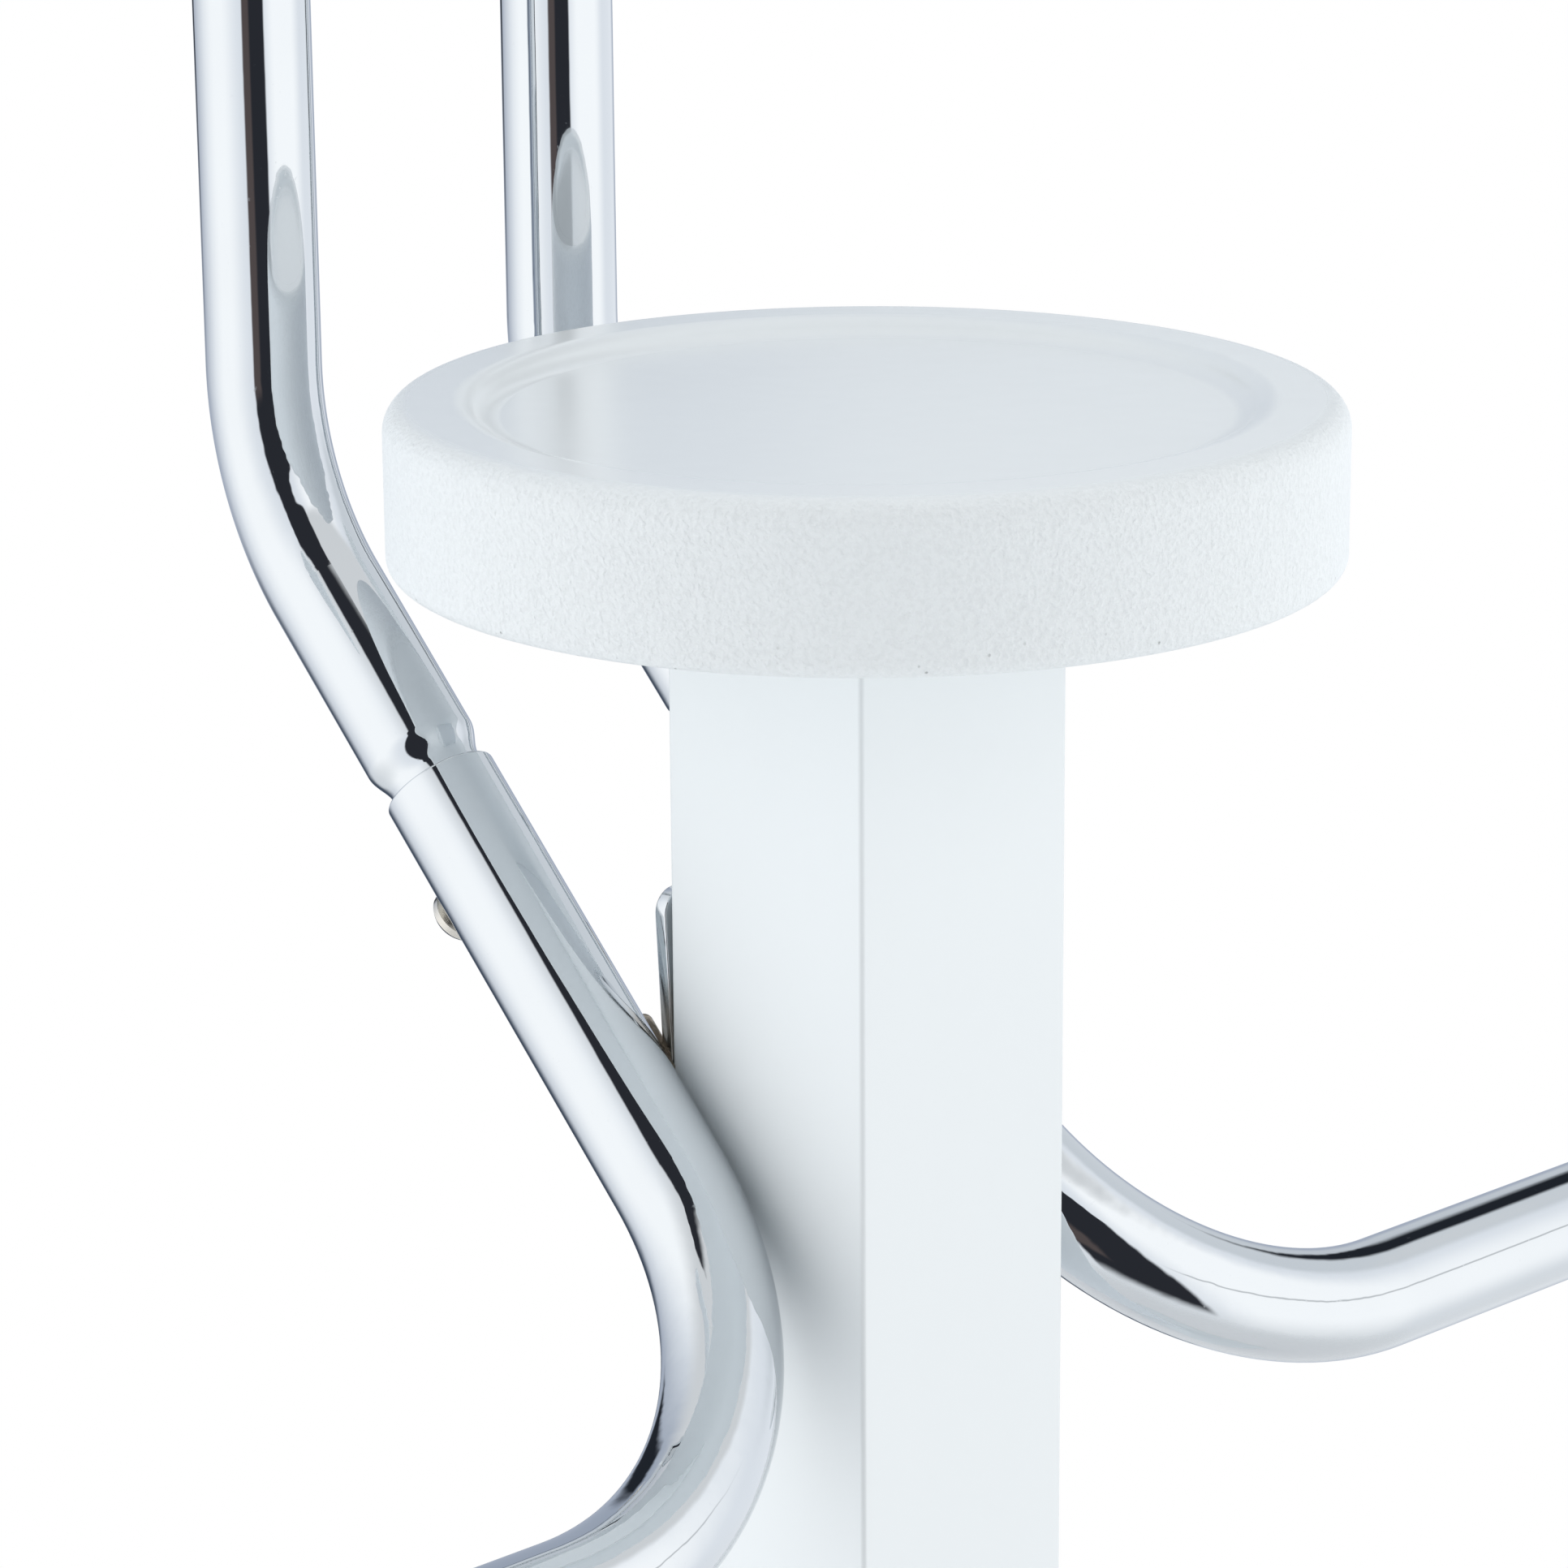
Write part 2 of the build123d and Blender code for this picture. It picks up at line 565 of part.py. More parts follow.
with BuildPart() as cap:
    with BuildSketch(Plane.XZ):
        with BuildLine():
            TangentArc((0, CAP_DOME_HEIGHT), (cap_radius, CAP_EDGE), tangent=(1, 0))
            Polyline(
                (cap_radius, CAP_EDGE),
                (cap_radius, 0),
                (tube_bore - CAP_CLEARANCE, 0),
                (tube_bore - CAP_CLEARANCE, -CAP_SPIGOT_LENGTH),
                (0, -CAP_SPIGOT_LENGTH),
                (0, CAP_DOME_HEIGHT),
            )
        make_face()
    revolve(axis=Axis.Z)

arm_ends = [across(Vector(side * ARM_REACH, arm_y, arm_z), (side, 0, 0)) for side in SIDES.values()]

with BuildPart() as arm_caps:
    with Locations(*arm_ends):
        add(cap.part)
finish(arm_caps.part, "arm_caps")

# ---------------------------------------------------------------- hanger and what fixes it to the uprights

half_arc = degrees(asin(HANGER_SPAN / 2 / hanger_radius))
forward = Vector(0, -1, 0)
bow_normal = hanger_fall.cross(Vector(1, 0, 0))
seat_planes = [
    Plane(origin=(side * tube_x, hanger_seat_y, hanger_bolt_z), x_dir=(1, 0, 0), z_dir=(0, 1, 0))
    for side in SIDES.values()
]

with BuildPart() as hanger:
    with BuildLine(Plane(origin=hanger_middle, x_dir=(1, 0, 0), z_dir=bow_normal)) as bow:
        CenterArc((0, -hanger_radius), hanger_radius, 90, -half_arc)
    end_direction = bow.line % 1
    end_forward = forward - end_direction * forward.dot(end_direction)
    with BuildSketch(Plane(origin=bow.line @ 0, x_dir=forward, z_dir=bow.line % 0)) as middle_section:
        RectangleRounded(HANGER_DEPTH_MIDDLE, HANGER_HEIGHT_MIDDLE, HANGER_ROUND_MIDDLE)
    with BuildSketch(Plane(origin=bow.line @ 1, x_dir=end_forward, z_dir=end_direction)) as end_section:
        RectangleRounded(HANGER_DEPTH_END, HANGER_HEIGHT_END, HANGER_ROUND_END)
    sweep(sections=[middle_section.sketch, end_section.sketch], path=bow.line, multisection=True)
    fillet(hanger.faces().sort_by(Axis.X)[-1].edges(), radius=HANGER_TIP_ROUND)
    mirror(about=Plane.YZ)
    with Locations(*seat_planes):
        Hole(SMALL_INSERT_DIAMETER / 2 + HOLE_CLEARANCE, depth=HANGER_THREAD_LENGTH + HOLE_RUN_OUT)
finish(hanger.part, "hanger")

with BuildPart() as hanger_inserts:
    with Locations(*seat_planes):
        add(ring(SMALL_INSERT_DIAMETER, SCREW_DIAMETER, -HANGER_THREAD_LENGTH))
finish(hanger_inserts.part, "hanger_inserts")

saddle_reach = upright_y - tube_radius + SADDLE_WRAP - hanger_seat_y

with BuildPart() as hanger_saddles:
    with BuildSketch(*[plane.offset(-SADDLE_THICKNESS / 2) for plane in seat_planes]):
        Rectangle(SADDLE_WIDTH, SADDLE_HEIGHT)
        Circle(screw_hole_radius, mode=Mode.SUBTRACT)
    extrude(amount=saddle_reach + SADDLE_THICKNESS / 2)
    with BuildSketch(*[Plane(origin=(side * tube_x, upright_y, hanger_bolt_z)) for side in SIDES.values()]):
        Circle(tube_radius)
    extrude(amount=SADDLE_HEIGHT, both=True, mode=Mode.SUBTRACT)
    add(hanger.part, mode=Mode.SUBTRACT)
    add(hanger_inserts.part, mode=Mode.SUBTRACT)
finish(hanger_saddles.part, "hanger_saddles")

upright_back = upright_y + tube_radius - hanger_seat_y
hanger_bolt_length = WASHER_THICKNESS + upright_back + HANGER_THREAD_LENGTH
hanger_bolt = domed_screw(
    SCREW_HEAD_DIAMETER, SCREW_HEAD_HEIGHT, SCREW_DIAMETER, hanger_bolt_length,
    SCREW_SOCKET_WIDTH, SCREW_SOCKET_DEPTH, SCREW_HEAD_EDGE,
)

with BuildPart() as hanger_washers:
    with Locations(*[plane.offset(upright_back) for plane in seat_planes]):
        add(washer)
finish(hanger_washers.part, "hanger_washers")

with BuildPart() as hanger_bolts:
    with Locations(*[plane.offset(upright_back + WASHER_THICKNESS) for plane in seat_planes]):
        add(hanger_bolt)
finish(hanger_bolts.part, "hanger_bolts")
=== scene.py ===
"""Looks for a valet stand: bent chrome tube on a painted post, with dish, jacket hanger and floor board."""

import json
from math import cos, pi, radians, sin, tan

import bmesh
import bpy
from bpy.props import FloatProperty, FloatVectorProperty, IntProperty, PointerProperty
from bpy.types import Operator, Panel, PropertyGroup
from mathutils import Matrix, Vector


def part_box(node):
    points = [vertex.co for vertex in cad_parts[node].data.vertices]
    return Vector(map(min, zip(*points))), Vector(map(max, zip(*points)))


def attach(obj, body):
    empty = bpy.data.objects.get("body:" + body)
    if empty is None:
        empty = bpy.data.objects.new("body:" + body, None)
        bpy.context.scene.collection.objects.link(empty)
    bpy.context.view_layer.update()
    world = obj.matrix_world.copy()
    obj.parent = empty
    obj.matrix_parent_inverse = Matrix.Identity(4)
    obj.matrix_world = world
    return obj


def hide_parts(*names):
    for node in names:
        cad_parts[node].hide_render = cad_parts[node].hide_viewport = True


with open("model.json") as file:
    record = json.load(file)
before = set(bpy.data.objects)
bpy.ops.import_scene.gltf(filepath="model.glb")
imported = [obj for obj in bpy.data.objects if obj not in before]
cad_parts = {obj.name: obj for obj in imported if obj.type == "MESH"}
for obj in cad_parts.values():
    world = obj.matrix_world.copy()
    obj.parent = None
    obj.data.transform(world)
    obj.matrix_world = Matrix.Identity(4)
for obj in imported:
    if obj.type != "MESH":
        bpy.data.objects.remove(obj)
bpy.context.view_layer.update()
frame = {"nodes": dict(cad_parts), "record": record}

bl_info = {
    "name": "Valet stand",
    "version": (1, 0, 0),
    "blender": (4, 5, 0),
    "location": "3D View > Sidebar > Valet stand",
    "description": "Models the chrome tubes, dish and fittings of a valet stand and gives it its finishes",
    "category": "Add Mesh",
}

# ---------------------------------------------------------------- places read from the frame

mounts = {mount["name"]: mount for mount in frame["record"]["mounts"]}
arm_middle = Vector(mounts["right_arm"]["pos_m"])
tube_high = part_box("upper_tube")[1]
arm_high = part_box("right_lower_tube")[1]
plate_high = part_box("cross_plate")[1]
dish_low, dish_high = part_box("dish")
post_low, post_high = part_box("post")
cap_low, cap_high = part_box("arm_caps")
board_low, board_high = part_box("base_board")
weld_low, weld_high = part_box("weld_beads")

TUBE_RADIUS = mounts["right_arm"]["dims"]["r_mm"] / 1000
DISH_CENTRE = Vector(((dish_low.x + dish_high.x) / 2, (dish_low.y + dish_high.y) / 2, 0))
DISH_RADIUS = (dish_high.x - dish_low.x) / 2
TUBE_X = tube_high.x - TUBE_RADIUS
UPRIGHT_Y = tube_high.y - TUBE_RADIUS
CROWN_Z = tube_high.z - TUBE_RADIUS - TUBE_X
ARM_END = arm_high.x
WELD_CENTRE = (weld_low + weld_high) / 2 + Vector((plate_high.x, 0, 0))     # of the right-hand bead

SIDES = {"left": -1, "right": 1}
BODY = "root"
AROUND = "around"            # attribute: cosine and sine round a tube, and the length along it
BENT = "bent"                # attribute: 1 inside a bend, 0 on a straight run
MERGE_DISTANCE = 1e-6


# ---------------------------------------------------------------- settings

class TubeSettings(PropertyGroup):
    """Sizes of the bent tube frame"""

    radius: FloatProperty(
        name="Radius", description="Outside radius of every tube",
        default=TUBE_RADIUS, unit="LENGTH", precision=4,
    )
    wall: FloatProperty(
        name="Wall", description="Wall thickness of every tube",
        default=0.0015, unit="LENGTH", precision=4,
    )
    tilt: FloatProperty(
        name="Tilt", description="Lean of the diagonals from the vertical",
        default=radians(46), subtype="ANGLE",
    )
    upper_bend: FloatProperty(
        name="Upper bend", description="Radius of the bends at the foot of the uprights",
        default=0.050, unit="LENGTH",
    )
    lower_bend: FloatProperty(
        name="Lower bend", description="Radius of the bends from the diagonals into the arms",
        default=0.058, unit="LENGTH",
    )
    lip_below_bend: FloatProperty(
        name="Socket below bend", description="End of the upper bend to the lip of the socket",
        default=0.039, unit="LENGTH",
    )
    neck: FloatProperty(
        name="Neck", description="Narrow neck left showing above the lip of the socket",
        default=0.0015, unit="LENGTH", precision=4,
    )
    shoulder: FloatProperty(
        name="Shoulder", description="Length of the swage from full size down to the neck",
        default=0.0055, unit="LENGTH", precision=4,
    )
    plug_depth: FloatProperty(
        name="Plug depth", description="Length of the plug inside the socket",
        default=0.040, unit="LENGTH",
    )
    plug_clearance: FloatProperty(
        name="Plug clearance", description="Gap between the plug and the bore of the socket",
        default=0.0001, unit="LENGTH", precision=5,
    )
    lip_round: FloatProperty(
        name="Lip round", description="Round on the cut ends of the tubes",
        default=0.00045, unit="LENGTH", precision=5,
    )
    sides: IntProperty(
        name="Sides", description="Faces round each tube", default=96, min=24,
    )
    bend_steps: IntProperty(
        name="Bend steps", description="Rings in each bend", default=40, min=8,
    )


class DishSettings(PropertyGroup):
    """Sizes of the turned dish"""

    top_round: FloatProperty(
        name="Top round", description="Round on the outside of the rim",
        default=0.0045, unit="LENGTH", precision=4,
    )
    bottom_round: FloatProperty(
        name="Bottom round", description="Round on the lower edge",
        default=0.0024, unit="LENGTH", precision=4,
    )
    rim_width: FloatProperty(
        name="Rim width", description="Outside of the dish to the start of the recess",
        default=0.0125, unit="LENGTH", precision=4,
    )
    recess_depth: FloatProperty(
        name="Recess depth", description="Rim to the floor of the recess",
        default=0.0026, unit="LENGTH", precision=4,
    )
    recess_slope: FloatProperty(
        name="Recess slope", description="Width of the soft step between rim and recess",
        default=0.0036, unit="LENGTH", precision=4,
    )
    sides: IntProperty(
        name="Sides", description="Faces round the dish", default=256, min=48,
    )


class FittingSettings(PropertyGroup):
    """Sizes of the small fittings"""

    plate_round: FloatProperty(
        name="Plate round", description="Round on the edges of the cross plate",
        default=0.0013, unit="LENGTH", precision=4,
    )
    weld_growth: FloatProperty(
        name="Weld size", description="Size of the weld beads against their core",
        default=1.15, min=1,
    )
    weld_rise: FloatProperty(
        name="Weld rise", description="Weld beads above the middle of their joint",
        default=0.0004, unit="LENGTH", precision=4,
    )


class FinishSettings(PropertyGroup):
    """Colours and gloss of the finishes"""

    paint: FloatVectorProperty(
        name="Paint", description="White paint on the post, dish, board and hanger",
        default=(0.862, 0.902, 0.915), subtype="COLOR", size=3, min=0, max=1,
    )
    chrome: FloatVectorProperty(
        name="Chrome", description="Bright chrome plate on the tubes",
        default=(0.66, 0.69, 0.715), subtype="COLOR", size=3, min=0, max=1,
    )
    nickel: FloatVectorProperty(
        name="Nickel", description="Plated screws and washers",
        default=(0.80, 0.77, 0.71), subtype="COLOR", size=3, min=0, max=1,
    )
    zinc: FloatVectorProperty(
        name="Zinc", description="Zinc plated inserts, bolts and nails",
        default=(0.55, 0.56, 0.58), subtype="COLOR", size=3, min=0, max=1,
    )
    heat_tint: FloatVectorProperty(
        name="Heat tint", description="Straw colour left round a weld",
        default=(0.31, 0.265, 0.215), subtype="COLOR", size=3, min=0, max=1,
    )
    plastic: FloatVectorProperty(
        name="Plastic", description="White caps and saddles",
        default=(0.78, 0.81, 0.83), subtype="COLOR", size=3, min=0, max=1,
    )
    glide: FloatVectorProperty(
        name="Glide", description="Grey glides under the board",
        default=(0.26, 0.26, 0.27), subtype="COLOR", size=3, min=0, max=1,
    )
    beech: FloatVectorProperty(
        name="Beech", description="Dowels between the post and the dish",
        default=(0.60, 0.41, 0.24), subtype="COLOR", size=3, min=0, max=1,
    )


class StageSettings(PropertyGroup):
    """Camera, light tent and floor"""

    azimuth: FloatProperty(
        name="Azimuth", description="Camera direction round the stand, from the front",
        default=radians(-42.403), subtype="ANGLE",
    )
    elevation: FloatProperty(
        name="Elevation", description="Camera direction above the horizon",
        default=radians(16.036), subtype="ANGLE",
    )
    roll: FloatProperty(
        name="Roll", description="Turn of the camera about its own axis",
        default=radians(-0.429), subtype="ANGLE",
    )
    distance: FloatProperty(
        name="Distance", description="Camera to the point it aims at",
        default=0.8298, unit="LENGTH",
    )
    aim_right: FloatProperty(
        name="Aim right", description="Aim point to the right of the middle of the dish",
        default=-0.013, unit="LENGTH",
    )
    aim_up: FloatProperty(
        name="Aim up", description="Aim point above the rim of the dish",
        default=-0.0621, unit="LENGTH",
    )
    lens: FloatProperty(
        name="Lens", description="Focal length for a 36 mm sensor, in millimetres",
        default=122.02, min=10,
    )
    tent_strength: FloatProperty(
        name="Tent strength", description="Brightness of the walls of the light tent",
        default=1.0, min=0,
    )
    floor_radius: FloatProperty(
        name="Floor radius", description="Radius of the pale floor",
        default=0.95, unit="LENGTH",
    )


# ---------------------------------------------------------------- shader maths

class Value:
    """A number from a socket, so that shader maths can be written as sums."""

    def __init__(self, graph, socket):
        self.graph = graph
        self.socket = socket

    def maths(self, operation, *terms):
        sockets = dict(enumerate(terms))
        return self.graph.add("ShaderNodeMath", {"operation": operation}, sockets)

    def __add__(self, other):
        return self.maths("ADD", self, other)

    def __radd__(self, other):
        return self.maths("ADD", other, self)

    def __sub__(self, other):
        return self.maths("SUBTRACT", self, other)

    def __rsub__(self, other):
        return self.maths("SUBTRACT", other, self)

    def __mul__(self, other):
        return self.maths("MULTIPLY", self, other)

    def __rmul__(self, other):
        return self.maths("MULTIPLY", other, self)

    def __truediv__(self, other):
        return self.maths("DIVIDE", self, other)

    def __rtruediv__(self, other):
        return self.maths("DIVIDE", other, self)

    def __pow__(self, other):
        return self.maths("POWER", self, other)

    def __abs__(self):
        return self.maths("ABSOLUTE", self)

    def inside(self, low, high, soft):
        """1 from low to high and 0 outside, with edges that fade over a distance on each side."""
        return self.between(low - soft, low + soft) * (1 - self.between(high - soft, high + soft))

    def between(self, low, high):
        """0 at low and below, 1 at high and above, and smooth in between."""
        settings = {"interpolation_type": "SMOOTHSTEP"}
        sockets = {"Value": self, "From Min": low, "From Max": high}
        return self.graph.add("ShaderNodeMapRange", settings, sockets)


class Graph:
    """The nodes of one material or world."""

    def __init__(self, owner):
        owner.use_nodes = True
        self.tree = owner.node_tree
        self.tree.nodes.clear()

    def add(self, kind, settings, sockets, output=0):
        """Adds a node, sets it, fills its sockets with numbers, colours or links, and gives one output."""
        node = self.tree.nodes.new(kind)
        for name, setting in settings.items():
            if name == "stops":
                self.fill_ramp(node.color_ramp, setting)
            else:
                setattr(node, name, setting)
        for name, value in sockets.items():
            if isinstance(value, Value):
                self.tree.links.new(value.socket, node.inputs[name])
            else:
                node.inputs[name].default_value = value
        if not node.outputs:
            return None
        return Value(self, node.outputs[output])

    @staticmethod
    def fill_ramp(ramp, stops):
        """Gives a colour ramp its stops, each a position and a grey level or a colour."""
        while len(ramp.elements) < len(stops):
            ramp.elements.new(1.0)
        for element, (position, colour) in zip(ramp.elements, stops):
            element.position = position
            element.color = rgba(colour)

    def coordinates(self, centre=(0, 0, 0), scale=(1, 1, 1)):
        """Object coordinates in metres, from a centre, and stretched."""
        spot = self.add("ShaderNodeTexCoord", {}, {}, "Object")
        moved = self.vector("SUBTRACT", spot, tuple(centre))
        return self.vector("MULTIPLY", moved, scale)

    def vector(self, operation, first, second):
        return self.add("ShaderNodeVectorMath", {"operation": operation}, {0: first, 1: second})

    def dot(self, first, second):
        sockets = {0: first, 1: second}
        return self.add("ShaderNodeVectorMath", {"operation": "DOT_PRODUCT"}, sockets, 1)

    def parts(self, vector):
        """The x, y and z of a vector."""
        node = self.add("ShaderNodeSeparateXYZ", {}, {"Vector": vector}).socket.node
        return [Value(self, output) for output in node.outputs]

    def join(self, x, y, z):
        return self.add("ShaderNodeCombineXYZ", {}, {"X": x, "Y": y, "Z": z})

    def attribute(self, name, output):
        settings = {"attribute_name": name}
        return self.add("ShaderNodeAttribute", settings, {}, output)

    def noise(self, vector, size, detail=2.0):
        """Noise from 0 to 1 with features of a size in metres."""
        sockets = {"Vector": vector, "Scale": 1 / size, "Detail": detail}
        return self.add("ShaderNodeTexNoise", {}, sockets)

    def cells(self, vector, size):
        """Distance to the nearest of scattered points, in cells of a size in metres."""
        return self.add("ShaderNodeTexVoronoi", {}, {"Vector": vector, "Scale": 1 / size})

    def mix(self, share, first, second):
        """A blend of two colours."""
        sockets = {"Factor": share, 6: colour_or_link(first), 7: colour_or_link(second)}
        return self.add("ShaderNodeMix", {"data_type": "RGBA"}, sockets, 2)

    def bump(self, height, depth):
        """A normal from a height of 0 to 1 and a real depth in metres."""
        return self.add("ShaderNodeBump", {}, {"Height": height, "Distance": depth}, "Normal")

    def surface(self, **sockets):
        """The Principled shader and the output. Socket names have underscores for their spaces."""
        named = {name.replace("_", " "): value for name, value in sockets.items()}
        shader = self.add("ShaderNodeBsdfPrincipled", {}, named)
        self.add("ShaderNodeOutputMaterial", {}, {"Surface": shader})


def rgba(colour):
    """A grey level or a colour, as red, green, blue and alpha."""
    if isinstance(colour, (int, float)):
        return (colour, colour, colour, 1)
    return (*colour[:3], 1)


def colour_or_link(value):
    return value if isinstance(value, Value) else rgba(value)


def shade(colour, level):
    """A colour made lighter or darker."""
    return tuple(channel * level for channel in colour)


# ---------------------------------------------------------------- finishes

def finish_named(name, build, settings):
    """The material of a name, made by its function the first time it is asked for."""
    found = bpy.data.materials.get(name)
    if found is None:
        found = bpy.data.materials.new(name)
        build(Graph(found), settings)
    return found


def tube_chrome(graph, settings):
    """Mirror chrome over drawn tube: faint lines along it, small ripples in the bends, and a light haze."""
    along = graph.attribute(AROUND, "Vector")
    bent = graph.attribute(BENT, "Fac")
    cosine, sine, run = graph.parts(along)
    lines = graph.noise(graph.join(cosine * 0.01, sine * 0.01, run * 0.02), 0.0011, 1.0)
    swell = graph.noise(graph.join(cosine * 0.0095, sine * 0.0095, run), 0.012, 1.0)
    ripple = graph.noise(graph.join(cosine * 0.0095, sine * 0.0095, run * 0.8), 0.0055, 2.0)
    height = lines * 0.01 + swell * 0.4 + ripple * (bent * 0.8 + 0.12)
    spots = graph.coordinates()
    haze = graph.noise(spots, 0.03, 3.0).between(0.45, 0.8)
    dust = graph.noise(spots, 0.0011, 1.0).between(0.73, 0.79)
    graph.surface(
        Base_Color=graph.mix(haze * 0.5 + dust * 0.3, settings.chrome, shade(settings.chrome, 0.96)),
        Metallic=1.0,
        Roughness=0.02 + haze * 0.025 + dust * 0.12,
        Normal=graph.bump(height, 0.0001),
    )


def plate_chrome(graph, settings):
    """Chrome over blanked steel plate, with straw heat tint near the welds."""
    spots = graph.coordinates()
    swell = graph.noise(spots, 0.007, 1.0)
    across, deep, height = graph.parts(spots)
    sideways = abs(across) - WELD_CENTRE.x
    from_weld = (sideways ** 2 + (deep - WELD_CENTRE.y) ** 2 + (height - WELD_CENTRE.z) ** 2) ** 0.5
    patchy = (graph.noise(spots, 0.004, 2.0) - 0.5) * 0.006
    tint = 1 - (from_weld + patchy).between(0.008, 0.019)
    graph.surface(
        Base_Color=graph.mix(tint * 0.8, settings.chrome, settings.heat_tint),
        Metallic=1.0,
        Roughness=0.05 + tint * 0.14,
        Normal=graph.bump(swell, 0.00004),
    )


def plated(graph, colour, roughness, grain_size):
    """Plated steel fixings, with a fine grain and a patchy tone."""
    spots = graph.coordinates()
    grain = graph.noise(spots, grain_size, 3.0)
    patches = graph.noise(spots, grain_size * 9, 2.0).between(0.35, 0.7)
    graph.surface(
        Base_Color=graph.mix(patches, shade(colour, 0.86), colour),
        Metallic=1.0,
        Roughness=roughness + grain * 0.14,
        Normal=graph.bump(grain, 0.000002),
    )


def nickel_plate(graph, settings):
    plated(graph, settings.nickel, 0.12, 0.0030)


def zinc_plate(graph, settings):
    plated(graph, settings.zinc, 0.26, 0.0020)


def weld_steel(graph, settings):
    """A weld bead under thin chrome: ripples across it, straw and brown heat tint, and small pits."""
    spots = graph.coordinates()
    _, deep, height = graph.parts(spots)
    waver = graph.noise(spots, 0.003, 2.0) * 0.0008
    along = (height - deep + waver) * (2 * pi / 0.0016)
    ripples = along.maths("SINE", along)
    tint = graph.noise(spots, 0.004, 3.0).between(0.3, 0.7)
    pits = graph.cells(spots, 0.0012).between(0.1, 0.4)
    graph.surface(
        Base_Color=graph.mix(tint, shade(settings.heat_tint, 1.6), settings.heat_tint),
        Metallic=1.0,
        Roughness=0.18 + tint * 0.18,
        Normal=graph.bump(ripples * 0.5 + pits * 0.3, 0.00012),
    )


def peel(graph, spots):
    """The height of sprayed paint over MDF edges: orange peel over slower swells."""
    fine = graph.noise(spots, 0.00085)
    broad = graph.noise(spots, 0.0035, 1.0)
    return fine * 0.9 + broad * 0.2


def dish_paint(graph, settings):
    """Satin white on the turned dish: orange peel and tiny pits on the side, with painted shade in the dips
    of the peel, smooth and glossier on top.
    """
    spots = graph.coordinates(DISH_CENTRE)
    across, deep, height = graph.parts(spots)
    reach = (across * across + deep * deep) ** 0.5
    side = reach.between(DISH_RADIUS - 0.0045, DISH_RADIUS - 0.0012)
    low = 1 - height.between(dish_low.z + 0.001, dish_low.z + 0.007)
    pits = (1 - graph.cells(spots, 0.0019).between(0.05, 0.16)) * side
    scattered = graph.noise(spots, 0.008, 1.0).between(0.5, 0.62)
    marks = pits * scattered * (low * 0.75 + 0.05)
    tone = graph.noise(spots, 0.02, 2.0)
    grain = peel(graph, spots)
    # painted shade: the dips of the orange peel on the side are painted darker, as shade in the hollows of
    # the peel
    peel_dip_shade = (1 - grain.between(0.38, 0.66)) * side
    clean = graph.mix(tone * 0.3 + peel_dip_shade * 0.7, settings.paint, shade(settings.paint, 0.94))
    swell = graph.noise(spots, 0.009, 1.0)
    graph.surface(
        Base_Color=graph.mix(marks, clean, shade(settings.paint, 0.5)),
        Roughness=0.24 + side * 0.26,
        Normal=graph.bump(grain * side + swell * (0.12 - side * 0.08) - marks * 0.5, 0.0004),
    )


def edge_paint(graph, settings, low, high, edge_width, peel_share):
    """Satin white on a sprayed board or bar, with more orange peel near its edges."""
    spots = graph.coordinates()
    middle = (low + high) / 2
    centred = graph.vector("SUBTRACT", spots, tuple(middle))
    across, deep, _ = graph.parts(centred)
    half = (high - low) / 2
    near_x = abs(across).between(half.x - edge_width, half.x)
    near_y = abs(deep).between(half.y - edge_width, half.y)
    edge = near_x.maths("MAXIMUM", near_x, near_y)
    grain = peel(graph, spots)
    tone = graph.noise(spots, 0.05, 2.0)
    graph.surface(
        Base_Color=graph.mix(tone, settings.paint, shade(settings.paint, 0.97)),
        Roughness=0.30 + grain * 0.10 + edge * 0.10,
        Normal=graph.bump(grain * (edge * (1 - peel_share) + peel_share), 0.00005),
    )


def board_paint(graph, settings):
    edge_paint(graph, settings, board_low, board_high, 0.006, 0.12)


def hanger_paint(graph, settings):
    edge_paint(graph, settings, *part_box("hanger"), 0.02, 0.35)


def post_lacquer(graph, settings):
    """Smooth satin lacquer on the post, with its colour darker along its four long edges."""
    spots = graph.coordinates()
    across, deep, _ = graph.parts(spots)
    centre = (post_low + post_high) / 2
    half = (post_high.x - post_low.x) / 2
    corner_x = abs(across - centre.x).between(half - 0.0009, half - 0.0002)
    corner_y = abs(deep - centre.y).between(half - 0.0009, half - 0.0002)
    arris = corner_x * corner_y
    grain = graph.noise(spots, 0.0011, 2.0)
    swell = graph.noise(graph.coordinates(scale=(1, 1, 0.2)), 0.012, 2.0)
    specks = (1 - graph.cells(spots, 0.035).between(0.010, 0.016)) * 0.4
    tone = graph.noise(graph.coordinates(scale=(1, 1, 0.15)), 0.03, 2.0)
    clean = graph.mix(tone, settings.paint, shade(settings.paint, 0.98))
    # the colour is made darker along the four long edges of the post
    edge_darkened = graph.mix(arris * 0.35, clean, shade(settings.paint, 0.72))
    graph.surface(
        Base_Color=graph.mix(specks, edge_darkened, shade(settings.paint, 0.45)),
        Roughness=0.33 + grain * 0.08,
        Normal=graph.bump(grain * 0.3 + swell * 0.7, 0.00003),
    )


def moulded(graph, colour, roughness, depth):
    """Moulded plastic: fine spark-eroded grain and a slow flow tone."""
    spots = graph.coordinates()
    grain = graph.noise(spots, 0.0005, 2.0)
    flow = graph.noise(spots, 0.008, 1.0)
    graph.surface(
        Base_Color=graph.mix(flow, colour, shade(colour, 0.95)),
        Roughness=roughness + grain * 0.10,
        Normal=graph.bump(grain * 0.6 + flow * 0.4, depth),
    )


def white_plastic(graph, settings):
    moulded(graph, settings.plastic, 0.30, 0.00002)


def grey_plastic(graph, settings):
    moulded(graph, settings.glide, 0.45, 0.00004)


